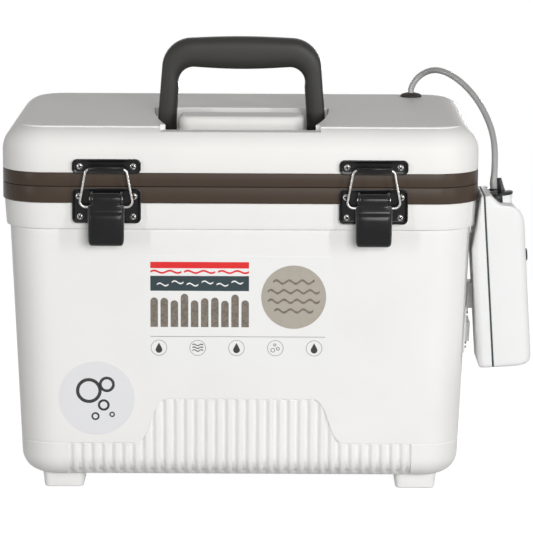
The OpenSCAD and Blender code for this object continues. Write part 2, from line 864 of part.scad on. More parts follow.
module latch_plate() {
    difference() {
        union() {
            flanged_plate(plate_h, plate_top - plate_h);
            for (sx = [-1, 1]) translate([sx * ear_x, 0, lever_pivot[1]]) {
                translate([0, lever_pivot[0], 0]) bar_x(2 * ear_r, ear_t);
                translate([-ear_t / 2, lever_pivot[0], -ear_r]) cube([ear_t, -lever_pivot[0] - front_y, 2 * ear_r]);
            }
        }
        translate([0, lever_pivot[0], lever_pivot[1]]) bar_x(lever_pin_d + 2 * pin_fit, 2 * ear_x + 5);
        translate([latch_x, 0, 0]) at_latch_screws() screw_hole(plate_t);
        translate([-latch_x, 0, 0]) at_latch_screws() screw_hole(plate_t);
    }
}

module latch_plate_left() {
    color(black) translate([-latch_x, 0, 0]) latch_plate();
}

module latch_plate_right() {
    color(black) translate([latch_x, 0, 0]) latch_plate();
}

module latch_screws() {
    color(steel) at_latch_screws() screw(plate_t);
}

pad_bulge = 1.6;

// Side view of the lever's sheet: it rolls off the top, runs down and bulges into the thumb pad
module lever_sheet() {
    face = -lever_r;
    top = -lever_r - 0.4;
    polygon([[face, 0], [face, top], [face, -13], [face - pad_bulge, -18], [face - pad_bulge, -lever_l + 4],
             [face + 1.5, -lever_l], [face + 1.5 + lever_t, -lever_l + 1], [face - pad_bulge + lever_t, -lever_l + 5],
             [face - pad_bulge + lever_t, -18.6], [face + lever_t, -13.6], [face + lever_t, 0]]);
}

// Side view of the lever's two cheeks, which carry the bail
module lever_cheek() {
    face = -lever_r;
    polygon([[face + 0.2, -lever_r - 0.5], [bail_inset + 2.6, -lever_r - 0.5], [bail_inset + 2.6, -bail_drop - 2.4],
             [face + 3.4, -lever_l + 7], [face + 0.2, -lever_l + 5]]);
}

// Extrudes a side view along X; its axes are Y and Z
module along_x(w) {
    translate([-w / 2, 0, 0]) rotate([90, 0, 90]) linear_extrude(w) children();
}

module lever() {
    translate([0, lever_pivot[0], lever_pivot[1]]) difference() {
        union() {
            bar_x(2 * lever_r, neck_w);
            intersection() {
                along_x(lever_w) lever_sheet();
                union() {
                    translate([0, 0, -lever_l / 2]) cube([neck_w, 40, lever_l + 1], center = true);
                    translate([0, 0, -lever_r - 0.5 - lever_l / 2]) cube([lever_w, 40, lever_l], center = true);
                }
            }
            for (sx = [-1, 1]) translate([sx * (lever_w / 2 - lever_t / 2), 0, 0]) along_x(lever_t) lever_cheek();
        }
        bar_x(lever_pin_d + 2 * pin_fit, neck_w + 2);
        translate([0, bail_inset, -bail_drop]) bar_x(wire_d + 2 * pin_fit, lever_w + 2);
    }
}

module lever_left() {
    color(black) translate([-latch_x, 0, 0]) lever();
}

module lever_right() {
    color(black) translate([latch_x, 0, 0]) lever();
}

module lever_pin() {
    translate([0, lever_pivot[0], lever_pivot[1]]) {
        bar_x(lever_pin_d, 2 * ear_x + ear_t);
        for (sx = [-1, 1]) translate([sx * (ear_x + ear_t / 2 + 0.4), 0, 0]) bar_x(lever_pin_d + 1, 0.8);
    }
}

module lever_pin_left() {
    color(steel) translate([-latch_x, 0, 0]) lever_pin();
}

module lever_pin_right() {
    color(steel) translate([latch_x, 0, 0]) lever_pin();
}

// Half of the bail's route from the middle of the bar down to the end inside the lever's cheek
bend_r = 4.5;
top_bend_r = (bail_top_w - hook_w) / 2 + 0.9;
function arc(c, r, a0, a1, n) = [for (k = [0:n]) let (a = a0 + (a1 - a0) * k / n) [c[0] + r * cos(a), c[1] + r * sin(a)]];
bail_half = concat(
    [[0, bail_h], [bail_top_w / 2 - top_bend_r, bail_h]],
    arc([bail_top_w / 2 - top_bend_r, bail_h - top_bend_r], top_bend_r, 75, 15, 4),
    arc([bail_low_w / 2 - bend_r, bend_r], bend_r, -6, -78, 5),
    [[bail_low_w / 2 - bend_r, 0], [lever_w / 2 - lever_t - 0.4, 0]]);

module bail() {
    right = [for (q = bail_half) [q[0], 0, q[1]]];
    left = [for (k = [len(bail_half) - 1:-1:1]) [-bail_half[k][0], 0, bail_half[k][1]]];
    translate([0, bail_pivot[0], bail_pivot[1]]) swept(concat(left, right), wire_d, 10);
}

module bail_left() {
    color(steel) translate([-latch_x, 0, 0]) bail();
}

module bail_right() {
    color(steel) translate([latch_x, 0, 0]) bail();
}

// ---------- handle ----------

// Outline of one side of the handle, from the pivot up, as points from the outer foot to the top
shoulder_x = handle_w / 2 - leg_lean - shoulder_r;
shoulder_z = handle_h - 1.2 - shoulder_r;
inner_x = handle_w / 2 - leg_w - 1.5 - grip_corner_r;
inner_z = handle_h - grip_h + 1.6 - grip_corner_r;

module handle_outline() {
    outer = concat([[handle_w / 2, -handle_t]], arc([shoulder_x, shoulder_z], shoulder_r, 0, 90, 8));
    inner = concat([[handle_w / 2 - leg_w, -handle_t]], arc([inner_x, inner_z], grip_corner_r, 0, 90, 6));
    polygon(concat(outer, [[0, handle_h]], [for (k = [len(outer) - 1:-1:0]) [-outer[k][0], outer[k][1]]],
                   [for (q = inner) [-q[0], q[1]]], [[0, handle_h - grip_h]],
                   [for (k = [len(inner) - 1:-1:0]) inner[k]]));
}

module handle() {
    color(charcoal) translate([0, -pivot_y, z_pivot]) difference() {
        intersection() {
            rotate([90, 0, 0]) linear_extrude(handle_t, center = true) handle_outline();
            union() {
                bar_x(handle_t, handle_w + 2);
                translate([0, 0, handle_h / 2 + 1]) cube([handle_w + 2, handle_t, handle_h + 2], center = true);
            }
        }
        translate([0, pivot_y, -z_pivot]) at_handle_pins() bar_x(handle_pin_d + 2 * pin_fit, handle_pin_l + 2 * fit);
    }
}

module handle_pins() {
    color(steel) at_handle_pins() bar_x(handle_pin_d, handle_pin_l);
}

// ---------- air line ----------

module hose_grommet() {
    color(brown) difference() {
        union() {
            translate([grommet_x, grommet_y, z_top]) cylinder(d = grommet_d, h = grommet_h);
            translate([grommet_x, grommet_y, stem_low]) cylinder(d = stem_d, h = z_top - stem_low + 1);
        }
        hose_hole(hose_d + 2 * fit);
    }
}

// The hose from the top of the grommet, over the right edge of the lid and down to the pump's nozzle
hose_start = [grommet_x, grommet_y, z_top + grommet_h];
hose_route = [
    [140, 92, 295], [141, 91, 299], [144, 89, 304], [148, 86, 308], [154, 80, 312],
    [160, 71, 314], [167, 60, 313], [176, 46, 309], [183, 31, 303], [190, 16, 296],
    [195, 0, 287], [199, -16, 278], [201, -31, 269], [200.5, -45, 260], [199.5, -57, 250],
    [198.5, -64, 243]
];
hose_straight = 4;

module air_hose() {
    end = [nozzle_tip + turned([0, 0, hose_straight]), nozzle_tip];
    color(hose_colour) swept(concat([hose_start], smooth(hose_route, 2), end), hose_d, 10);
}

// The same hose under the lid: it bends away from the corner and hangs in the well to the stone
drop_route = [
    [140, 92, 232], [139, 90, 216], [135, 84, 198], [129, 75, 180], [123, 66, 162],
    [119, 60, 144], [118, 58, 126]
];
drop_end = [118, 58, 100];

module drop_hose() {
    color(hose_colour) swept(concat([hose_start], drop_route, [drop_end]), hose_d, 10);
}

module air_stone() {
    color([0.35, 0.45, 0.6]) translate(drop_end - [0, 0, stone_l]) cylinder(d = stone_d, h = stone_l);
}

// ---------- pump ----------

// The pump's own frame: x away from the box, y to the back, z up, with its origin at the middle of
// the lower edge of its inner face. Its face clears the tub's side where the two come nearest.
face_z = 92;
pump_x = half_w(pump_z + face_z) + pump_play + tan(pump_lean) * face_z;
pump_at = [pump_x, -pump_y, pump_z];

module on_pump() {
    translate(pump_at) rotate([0, -pump_lean, 0]) children();
}

// A place in the pump's frame, turned into the box's directions
function turned(v) = [v[0] * cos(pump_lean) - v[2] * sin(pump_lean), v[1],
                      v[0] * sin(pump_lean) + v[2] * cos(pump_lean)];

nozzle_d = 6;
nozzle_flange_d = 10;
nozzle_h = 2.5;
nozzle_root = 6;
nozzle_at = [pump_t - 19.8, 16, pump_h - 3.5];
nozzle_tip = pump_at + turned(nozzle_at + [0, 0, nozzle_h]);

// Where the pump stands over a level of the box, and how far its inner face is from its own origin there
collar_face = z_collar - pump_z + 1.5;
rim_face = z_rim - pump_z;
collar_play = 1.7;
rim_play = 1.3;
function beside(x, z) = (x - pump_x + z * sin(pump_lean)) / cos(pump_lean);
face_at_collar = beside(box_w / 2 - collar_reveal - 1.5 + collar_play, collar_face);
face_at_rim = beside(box_w / 2 + rim_play, rim_face);
function inner_face(z) = z > rim_face ? beside(box_w / 2 + rim_play, z)
    : z > collar_face ? face_at_collar + (face_at_rim - face_at_collar) * (z - collar_face) / (rim_face - collar_face)
    : z > face_z ? face_at_collar * (z - face_z) / (collar_face - face_z) : 0;

// Side view of the pump: its inner face clears the collar and the band, and its top falls to a shelf
side_outline = concat(
    [[0, 0], [pump_t - 9, 0], [pump_t - 6, 0.4], [pump_t - 1.4, 2.6], [pump_t, 7]],
    [for (q = [[0, 23], [1.2, 17.5], [3.4, 13], [6, 10.2], [9.6, 8.7], [15.3, 8], [18.7, 6.4], [22.4, 2.6],
               [24.7, 0]]) [pump_t - q[0], pump_h - q[1]]],
    [for (z = [pump_h, rim_face, collar_face, face_z]) if (z <= pump_h) [inner_face(z), z]]);

// An outline moved in by a distance; its points run anticlockwise
function inward(e) = [-e[1], e[0]];
function moved_in(p, d) = [for (i = [0:len(p) - 1]) let (
    n1 = inward(unit(p[i] - p[(i + len(p) - 1) % len(p)])),
    n2 = inward(unit(p[(i + 1) % len(p)] - p[i]))) p[i] + d * (n1 + n2) / (1 + n1 * n2)];

module pump_plan(inset) {
    translate([pump_t / 2, 0]) rounded_rect(pump_t - 2 * inset, pump_w - 2 * inset, case_r - inset);
}

module pump_form(inset) {
    intersection() {
        translate([0, pump_w / 2, 0]) rotate([90, 0, 0]) linear_extrude(pump_w) polygon(moved_in(side_outline, inset));
        translate([0, 0, inset]) linear_extrude(pump_h - 2 * inset) pump_plan(inset);
    }
}

// The part of the pump between two distances from its inner face
module pump_slice(x0, x1) {
    intersection() {
        children();
        translate([x0, -pump_w, -10]) cube([x1 - x0, 2 * pump_w, pump_h + 30]);
    }
}

module pump_shell() {
    difference() {
        pump_form(0);
        pump_form(case_t);
    }
}

case_screw_r = 1.25;
case_boss_d = 6;
case_screw_y = pump_w / 2 - 7;
case_corners = [for (sy = [-1, 1], z = [6, pump_h - 15.5]) [inner_face(z), sy * case_screw_y, z]];

module at_case_screws() {
    for (c = case_corners) translate(c) rotate([0, 90, 0]) children();
}

// Posts of the case screws, from the inner wall to the outer wall
module pump_posts() {
    intersection() {
        pump_form(0);
        at_case_screws() cylinder(d = case_boss_d, h = pump_t);
    }
}

module pump_inner_case() {
    color(white) on_pump() difference() {
        pump_slice(-1, seam_x) union() {
            pump_shell();
            pump_posts();
        }
        at_case_screws() translate([0, 0, -1]) cylinder(r = case_screw_r + pin_fit, h = pump_t);
        at_case_screws() translate([0, 0, -2]) cylinder(d = 5, h = 4);
    }
}

knob_at = [pump_t - 15.4, -4, pump_h - 3];
button_at = [pump_t, 0, 83];
button_flange_d = button_d + 3;
socket_play = 1;
socket_wall = 2;
socket_h = neck_h + 2;

// Solid seats under the knob and the nozzle, inside the case
module top_seats() {
    intersection() {
        pump_form(0);
        union() {
            translate(knob_at - [0, 0, socket_h])
                cylinder(d = knob_d + 2 * (socket_play + socket_wall), h = socket_h);
            translate(nozzle_at - [0, 0, socket_h])
                cylinder(d = nozzle_flange_d + 2 * (socket_play + socket_wall), h = socket_h);
        }
    }
    translate(knob_at - [0, 0, socket_h]) cylinder(d = knob_d - 1, h = socket_h);
    translate(nozzle_at - [0, 0, socket_h]) cylinder(d = nozzle_flange_d + 1, h = socket_h);
}

// Room above them for the disc of the knob and the flange of the nozzle
module top_rooms() {
    translate(knob_at) cylinder(d = knob_d + 2 * socket_play, h = 10);
    translate(nozzle_at) cylinder(d = nozzle_flange_d + 2 * socket_play, h = 10);
}

module pump_outer_case() {
    color(white) on_pump() difference() {
        union() {
            pump_slice(seam_x + seam_t, pump_t + 1) union() {
                pump_shell();
                pump_posts();
            }
            pump_slice(seam_x, seam_x + seam_t + 1) pump_posts();
            top_seats();
        }
        top_rooms();
        at_case_screws() cylinder(r = case_screw_r + pin_fit, h = seam_x + seam_t + 8);
        translate(button_at) rotate([0, 90, 0])
            cylinder(d = button_d + 2 * moving_gap, h = 20, center = true);
        translate(knob_at - [0, 0, 20]) cylinder(d = knob_shaft_d + 2 * pin_fit, h = 25);
        translate(nozzle_at - [0, 0, 12]) cylinder(d = nozzle_d + 2 * pin_fit, h = 20);
    }
}

module pump_gasket() {
    color(black) on_pump() difference() {
        pump_slice(seam_x, seam_x + seam_t) pump_shell();
        at_case_screws() cylinder(d = case_boss_d + 2 * fit, h = pump_t);
    }
}

module case_screws() {
    color(steel) on_pump() at_case_screws() translate([0, 0, 0.5]) {
        cylinder(r = case_screw_r, h = seam_x + seam_t + 5);
        cylinder(d = 4.6, h = 1.5);
    }
}

module pump_nozzle() {
    color(black) on_pump() translate(nozzle_at) difference() {
        union() {
            translate([0, 0, -nozzle_root]) cylinder(d = nozzle_d, h = nozzle_root + nozzle_h);
            cylinder(d = nozzle_flange_d, h = nozzle_h);
        }
        translate([0, 0, -nozzle_root - 1]) cylinder(d = nozzle_d / 2, h = nozzle_root + nozzle_h + 2);
    }
}

disc_h = 2;
fin_t = 3.2;

// Disc, shaft, fin, and the pointer that reaches forward over the shelf of the case
module pump_knob() {
    reach = knob_d / 2 + 8;
    foot = knob_d / 2 + 0.6;
    color(black) on_pump() translate(knob_at) {
        translate([0, 0, moving_gap]) cylinder(d = knob_d, h = disc_h);
        translate([0, 0, -neck_h - 4]) cylinder(d = knob_shaft_d, h = neck_h + 5);
        rotate(-14) along_x(fin_t) polygon([
            [-knob_d / 2 + 0.8, 1], [-knob_d / 2 + 1.2, disc_h + fin_h - 0.8], [-knob_d / 2 + 3, disc_h + fin_h],
            [-knob_d / 2 + 5, disc_h + fin_h - 1], [knob_d / 2 - 0.8, disc_h]]);
        translate([0, -foot, 0]) rotate([90, 0, 0]) linear_extrude(reach - foot)
            polygon([[-7.4, moving_gap + disc_h], [-7.4, 1.6], [-0.4, -4.4], [-0.4, moving_gap + disc_h]]);
        translate([-7.4, -reach, moving_gap + disc_h - 0.9]) cube([7, reach - 4, 0.9]);
    }
}

button_root = case_t + 3;
button_bore = 4;
spring_d = 6;

// The button's flange is held inside the case; the spring stands in the bore in its back
module pump_button() {
    color(black) on_pump() translate(button_at) rotate([0, 90, 0]) translate([0, 0, -button_root])
        difference() {
            union() {
                cylinder(d = button_d, h = button_root + button_out);
                cylinder(d = button_flange_d, h = button_root - case_t - moving_gap);
            }
            translate([0, 0, -1]) cylinder(d = spring_d + 2 * fit, h = button_bore + 1);
        }
}

board_x = pump_t - 10;
board_t = 1.6;
board_w = 32;
board_h = 36;

module button_spring() {
    color(steel) on_pump() translate([board_x + board_t, 0, button_at[2]]) rotate([0, 90, 0])
        difference() {
            h = pump_t - button_root - board_x - board_t + button_bore - button_travel - 0.4;
            cylinder(d = spring_d, h = h);
            translate([0, 0, -1]) cylinder(d = spring_d - 2, h = h + 2);
        }
}

module pump_board() {
    color([0.1, 0.35, 0.2]) on_pump() translate([board_x, -board_w / 2, button_at[2] - board_h / 2])
        cube([board_t, board_w, board_h]);
}

// Two round cells stand side by side in the bottom of the case, each between two contacts
cell_x = case_t + 1 + cell_d / 2;
cell_y = cell_d / 2 + 0.1;
cell_z = 10;
contact_t = 0.8;
contact_w = 12;

module at_cells(z) {
    for (s = [-1, 1]) translate([cell_x, s * cell_y, z]) children();
}

module battery_cells() {
    color([0.25, 0.25, 0.27]) on_pump() at_cells(cell_z) cylinder(d = cell_d, h = cell_l);
}

module battery_contacts() {
    color(steel) on_pump() for (z = [cell_z - contact_t / 2, cell_z + cell_l + contact_t / 2])
        at_cells(z) cube([contact_w, contact_w, contact_t], center = true);
}

// The motor hangs under the diaphragm head, over the cells
motor_d = 20;
motor_l = 22;
head_h = 17;
head_gap = 19.5;
drive_play = 0.45; // between the drive and the case wall that follows the box
drive_x = inner_face(pump_h - head_gap) + case_t + drive_play + motor_d / 2;
drive_at = [drive_x, -pump_w / 2 + case_t + motor_d / 2 + 1, pump_h - head_gap - head_h - motor_l];

module pump_motor() {
    color(steel) on_pump() translate(drive_at) cylinder(d = motor_d, h = motor_l);
}

module pump_head() {
    color(charcoal) on_pump() translate(drive_at + [-motor_d / 2, -motor_d / 2, motor_l])
        cube([motor_d, motor_d, head_h]);
}

tube_d = 4;

// The inner air tube, from the head up to the foot of the nozzle
module pump_tube() {
    foot = nozzle_at - [0, 0, nozzle_root];
    start = drive_at + [0, 0, motor_l + head_h];
    run = foot - start;
    low = [0, 0, tube_d];
    color(hose_colour) on_pump() swept([
        start, start + 0.7 * low, start + [0, 0.12 * run[1], 1.25 * tube_d], start + [0, 0.3 * run[1], 1.4 * tube_d],
        start + [0.3 * run[0], 0.7 * run[1], 1.1 * tube_d], foot - [0.2 * run[0], 0.1 * run[1], 1.2 * tube_d],
        foot - 0.7 * low, foot], tube_d, 8);
}

// ---------- bracket and clip ----------

loop_w = 24;
loop_low = -10;
loop_high = 5;
loop_wall = 2;
slot_x = plate_t + 2.1;

// A plate on the side of the tub with a loop that stands out from it
module pump_bracket() {
    loop_h = loop_high - loop_low;
    color(charcoal) difference() {
        on_side(bracket_y, bracket_z) {
            translate([0, -bracket_w / 2, -bracket_h / 2]) cube([plate_t, bracket_w, bracket_h]);
            for (sy = [-1, 1])
                translate([(slot_x + plate_t) / 2, sy * (loop_w / 2 - loop_wall / 2), loop_low + loop_h / 2])
                    cube([slot_x + plate_t, loop_wall, loop_h], center = true);
            translate([slot_x, -loop_w / 2, loop_low]) cube([plate_t, loop_w, loop_h]);
        }
        at_bracket_screws() screw_hole(plate_t);
    }
}

module bracket_screws() {
    color(steel) at_bracket_screws() screw(plate_t);
}

tongue_w = 18;
tongue_h = 46;
lug_h = 20;

// A tongue that stands in the loop and a lug that ends flat against the pump
module pump_clip() {
    top = loop_low + tongue_h;
    color(charcoal) difference() {
        on_side(bracket_y, bracket_z) {
            translate([plate_t + fit, -tongue_w / 2, loop_low]) cube([1.5, tongue_w, tongue_h]);
            translate([plate_t + fit, -tongue_w / 2, top - lug_h]) cube([3 * loop_wall, tongue_w, lug_h]);
        }
        on_pump() translate([0, -pump_w, 0]) cube([pump_t, 2 * pump_w, pump_h]);
    }
}

// ---------- stickers ----------

sticker_t = 0.2;
glue = 0.02;

module square_sticker() {
    color([0.97, 0.97, 0.96]) on_front() translate([sheet_x - sheet_w / 2, -glue - sticker_t, sheet_z - z_floor])
        cube([sheet_w, sticker_t, sheet_h]);
}

// The round print sits on the square sheet
module round_sticker() {
    color([0.65, 0.6, 0.56]) on_front() translate([disc_x, -2 * glue - sticker_t, disc_z - z_floor]) rotate([90, 0, 0])
        cylinder(d = disc_d, h = sticker_t);
}

module corner_sticker() {
    color([0.9, 0.9, 0.9]) on_front() translate([corner_disc_x, -glue, corner_disc_z - z_floor]) rotate([90, 0, 0])
        cylinder(d = corner_disc_d, h = sticker_t);
}

tub_shell();
tub_foam();
tub_liner();
tub_band();
feet();
lid_shell();
lid_foam();
lid_liner();
lid_band();
lid_seal();
hinge_leaves_tub();
hinge_leaves_lid();
hinge_pins();
hinge_screws_tub();
hinge_screws_lid();
keeper_left();
keeper_right();
keeper_screws();
latch_plate_left();
latch_plate_right();
latch_screws();
lever_left();
lever_right();
lever_pin_left();
lever_pin_right();
bail_left();
bail_right();
handle();
handle_pins();
hose_grommet();
air_hose();
drop_hose();
air_stone();
pump_bracket();
bracket_screws();
pump_clip();
pump_inner_case();
pump_outer_case();
pump_gasket();
pump_nozzle();
pump_knob();
pump_button();
button_spring();
pump_motor();
pump_head();
pump_tube();
pump_board();
battery_cells();
battery_contacts();
case_screws();
square_sticker();
round_sticker();
corner_sticker();
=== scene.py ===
import math

import bmesh
import bpy
from mathutils import Matrix, Vector


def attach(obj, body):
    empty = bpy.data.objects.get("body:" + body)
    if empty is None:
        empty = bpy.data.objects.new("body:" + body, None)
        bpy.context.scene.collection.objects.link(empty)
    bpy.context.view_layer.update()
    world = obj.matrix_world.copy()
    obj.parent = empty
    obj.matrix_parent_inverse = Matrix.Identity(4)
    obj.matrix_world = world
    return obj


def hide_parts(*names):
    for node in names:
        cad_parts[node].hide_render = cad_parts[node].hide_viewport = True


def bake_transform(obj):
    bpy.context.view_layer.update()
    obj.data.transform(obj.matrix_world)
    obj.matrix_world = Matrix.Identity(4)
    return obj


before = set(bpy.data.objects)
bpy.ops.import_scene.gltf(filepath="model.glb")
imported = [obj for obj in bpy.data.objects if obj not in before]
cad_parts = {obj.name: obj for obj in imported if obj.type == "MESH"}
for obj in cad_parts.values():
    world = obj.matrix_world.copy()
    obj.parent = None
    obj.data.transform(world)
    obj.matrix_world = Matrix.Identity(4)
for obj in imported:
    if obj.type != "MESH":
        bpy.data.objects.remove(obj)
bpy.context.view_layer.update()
mm = 0.001
tau = 2 * math.pi

# camera, as found from the photo
cameraSettings = {"place": (0.0204, -2.3942, 0.5733), "down": 9.791, "roll": 0.273, "lens": 202.63,
                  "sensor": 36}
cameraData = bpy.data.cameras.new("camera")
cameraData.lens = cameraSettings["lens"]
cameraData.sensor_width = cameraSettings["sensor"]
cameraData.clip_end = 20
camera = bpy.data.objects.new("camera", cameraData)
camera.matrix_world = (Matrix.Translation(cameraSettings["place"])
                       @ Matrix.Rotation(math.radians(90 - cameraSettings["down"]), 4, "X")
                       @ Matrix.Rotation(math.radians(cameraSettings["roll"]), 4, "Z"))
bpy.context.scene.collection.objects.link(camera)
bpy.context.scene.camera = camera
bpy.context.scene.view_settings.view_transform = "Standard"
print("camera placed")


def put(node, values):  # sets a node's inputs
    for key, value in values.items():
        node.inputs[key].default_value = value
    return node


# procedural finishes: a base colour with faint clouding, uneven gloss and a fine grain, and on three of them
# painted light where the surface turns away from the camera
def finish(name, colour, rough=0.4, metal=0.0, cloud=0.03, cloudSize=12.0, grain=0.05, grainSize=900.0,
           clear=0.0, specular=0.5, paintedEdgeLight=None, sharp=1, stretch=(1, 1, 1)):
    glossChange = 0.06
    mat = bpy.data.materials.new(name)
    mat.use_nodes = True
    nodes, links = mat.node_tree.nodes, mat.node_tree.links
    shader = nodes["Principled BSDF"]
    coords = nodes.new("ShaderNodeTexCoord")
    mapping = put(nodes.new("ShaderNodeMapping"), {"Scale": stretch})
    links.new(coords.outputs["Object"], mapping.inputs["Vector"])

    def noise(scale, detail):
        n = put(nodes.new("ShaderNodeTexNoise"), {"Scale": scale, "Detail": detail})
        links.new(mapping.outputs["Vector"], n.inputs["Vector"])
        return n

    broad, fine = noise(cloudSize, 3), noise(grainSize, 2)
    ramp = nodes.new("ShaderNodeValToRGB")
    ramp.color_ramp.elements[0].position = 0.3
    ramp.color_ramp.elements[1].position = 0.7
    ramp.color_ramp.elements[0].color = (*[c * (1 - cloud) for c in colour], 1)
    ramp.color_ramp.elements[1].color = (*[min(c * (1 + cloud * 0.4), 1) for c in colour], 1)
    links.new(broad.outputs["Fac"], ramp.inputs["Fac"])
    if paintedEdgeLight:  # painted light where a surface turns away from the camera: a painted highlight on black metal, painted shade on steel and on the hose
        weight = put(nodes.new("ShaderNodeLayerWeight"), {"Blend": 0.35})
        power = put(nodes.new("ShaderNodeMath"), {1: sharp})
        power.operation = "POWER"
        links.new(weight.outputs["Facing"], power.inputs[0])
        mix = nodes.new("ShaderNodeMix")
        mix.data_type = "RGBA"
        put(mix, {"B": (*paintedEdgeLight, 1)})
        links.new(power.outputs[0], mix.inputs["Factor"])
        links.new(ramp.outputs["Color"], mix.inputs["A"])
        links.new(mix.outputs["Result"], shader.inputs["Base Color"])
    else:
        links.new(ramp.outputs["Color"], shader.inputs["Base Color"])
    spread = put(nodes.new("ShaderNodeMapRange"), {"To Min": max(rough - glossChange, 0.02),
                                                   "To Max": min(rough + glossChange, 1)})
    links.new(broad.outputs["Fac"], spread.inputs["Value"])
    links.new(spread.outputs["Result"], shader.inputs["Roughness"])
    bump = put(nodes.new("ShaderNodeBump"), {"Strength": grain, "Distance": 0.0004})
    links.new(fine.outputs["Fac"], bump.inputs["Height"])
    links.new(bump.outputs["Normal"], shader.inputs["Normal"])
    put(shader, {"Metallic": metal, "Specular IOR Level": specular, "Transmission Weight": clear})
    return mat


whiteShell = finish("whiteShell", (0.87, 0.862, 0.845), rough=0.42, grain=0.03, specular=0.2)
lidWhite = finish("lidWhite", (0.87, 0.858, 0.835), rough=0.45, grain=0.02, specular=0.15)
pumpWhite = finish("pumpWhite", (0.85, 0.85, 0.845), rough=0.4, grain=0.03, specular=0.2)
linerWhite = finish("linerWhite", (0.82, 0.82, 0.8), rough=0.42, grain=0.05)
foamCream = finish("foamCream", (0.86, 0.82, 0.66), rough=0.85, cloud=0.12, cloudSize=160, grain=0.6,
                   grainSize=700)
bandBrown = finish("bandBrown", (0.063, 0.045, 0.033), rough=0.36, cloud=0.08, grain=0.05, specular=0.12)
handleGrey = finish("handleGrey", (0.034, 0.033, 0.031), rough=0.42, cloud=0.08, grain=0.12,
                    grainSize=1500, specular=0.2)
# black metal, with a painted highlight on the edges that turn away from the camera
blackMetal = finish("blackMetal", (0.006, 0.006, 0.007), rough=0.22, cloud=0.15, cloudSize=60, grain=0.03,
                    specular=0.2, paintedEdgeLight=(0.9, 0.89, 0.87), sharp=3)
# steel, with painted shade on the sides that turn away from the camera
brightSteel = finish("brightSteel", (0.4, 0.39, 0.375), rough=0.24, metal=1, cloud=0.1, cloudSize=300,
                     grain=0.03, paintedEdgeLight=(0.03, 0.03, 0.03))
dullSteel = finish("dullSteel", (0.55, 0.55, 0.55), rough=0.36, metal=1, cloud=0.1, cloudSize=40, grain=0.15,
                   stretch=(1, 1, 14))
blackPlastic = finish("blackPlastic", (0.008, 0.009, 0.01), rough=0.4, cloud=0.1, grain=0.15, specular=0.25)
softRubber = finish("softRubber", (0.036, 0.03, 0.026), rough=0.6, specular=0.2, cloud=0.12,
                    cloudSize=120, grain=0.3)
seamRubber = finish("seamRubber", (0.008, 0.02, 0.02), rough=0.55, cloud=0.1, grain=0.2)
# clear hose, with painted shade on the sides that turn away from the camera
clearHose = finish("clearHose", (0.56, 0.57, 0.555), rough=0.3, cloud=0.03, cloudSize=60, grain=0.0,
                   clear=0.12, paintedEdgeLight=(0.2, 0.205, 0.195))
blueStone = finish("blueStone", (0.16, 0.24, 0.36), rough=0.95, cloud=0.3, cloudSize=900, grain=1.0,
                   grainSize=1400)
greenBoard = finish("greenBoard", (0.02, 0.12, 0.05), rough=0.4, cloud=0.2, cloudSize=300, grain=0.2)
cellWrap = finish("cellWrap", (0.05, 0.05, 0.06), rough=0.3, metal=0.4, cloud=0.15, cloudSize=60, grain=0.1)
sheetFilm = finish("sheetFilm", (0.86, 0.857, 0.848), rough=0.3, cloud=0.015, grain=0.01)
paleFilm = finish("paleFilm", (0.775, 0.775, 0.79), rough=0.34, cloud=0.015, grain=0.01)
taupeInk = finish("taupeInk", (0.41, 0.372, 0.315), rough=0.4, cloud=0.05, cloudSize=200, grain=0.02)
taupeDark = finish("taupeDark", (0.185, 0.155, 0.125), rough=0.45, cloud=0.4, cloudSize=500, grain=0.05)
redInk = finish("redInk", (0.72, 0.008, 0.008), rough=0.35, cloud=0.05, grain=0.02)
tealInk = finish("tealInk", (0.003, 0.021, 0.027), rough=0.35, cloud=0.1, grain=0.02)
blackInk = finish("blackInk", (0.012, 0.012, 0.012), rough=0.4, cloud=0.3, cloudSize=600, grain=0.02)
greyInk = finish("greyInk", (0.3, 0.3, 0.3), rough=0.4, cloud=0.1, grain=0.02)
print("finishes ready")


def metres(spot):
    return Vector(spot) * mm


def moveTo(spot):
    return Matrix.Translation(metres(spot))


def turned(degrees, axis):
    return Matrix.Rotation(math.radians(degrees), 4, axis)


def cosDeg(angle):
    return math.cos(math.radians(angle))


def sinDeg(angle):
    return math.sin(math.radians(angle))


def fit(obj, node, body):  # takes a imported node's place and moves with its body
    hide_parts(node)
    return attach(obj, body)


def shade(obj, angle=32):
    for polygon in obj.data.polygons:
        polygon.use_smooth = True
    obj.data.set_sharp_from_angle(angle=math.radians(angle))


def addMesh(name, points, faces, mat, angle=32, matrix=None):
    mesh = bpy.data.meshes.new(name)
    mesh.from_pydata([metres(p) for p in points], [], faces)
    work = bmesh.new()
    work.from_mesh(mesh)
    bmesh.ops.remove_doubles(work, verts=work.verts, dist=2e-7)
    bmesh.ops.recalc_face_normals(work, faces=work.faces)
    work.to_mesh(mesh)
    work.free()
    if matrix:
        mesh.transform(matrix)
    mesh.materials.append(mat)
    obj = bpy.data.objects.new(name, mesh)
    bpy.context.scene.collection.objects.link(obj)
    shade(obj, angle)
    return obj


def settle(obj, angle=32):  # turns the modifiers into the mesh
    bpy.context.view_layer.update()
    mesh = bpy.data.meshes.new_from_object(obj.evaluated_get(bpy.context.evaluated_depsgraph_get()))
    obj.modifiers.clear()
    old, obj.data = obj.data, mesh
    bpy.data.meshes.remove(old)
    shade(obj, angle)
    return obj


def combine(obj, other, way="DIFFERENCE", angle=32):
    mod = obj.modifiers.new("combine", "BOOLEAN")
    mod.operation, mod.solver, mod.object, mod.material_mode = way, "EXACT", other, "TRANSFER"
    settle(obj, angle)
    bpy.data.objects.remove(other)
    return obj


def soften(obj, width):
    mod = obj.modifiers.new("soften", "BEVEL")
    mod.width, mod.segments, mod.limit_method = width * mm, 2, "ANGLE"
    mod.angle_limit = math.radians(30)
    mod.harden_normals = True
    return obj


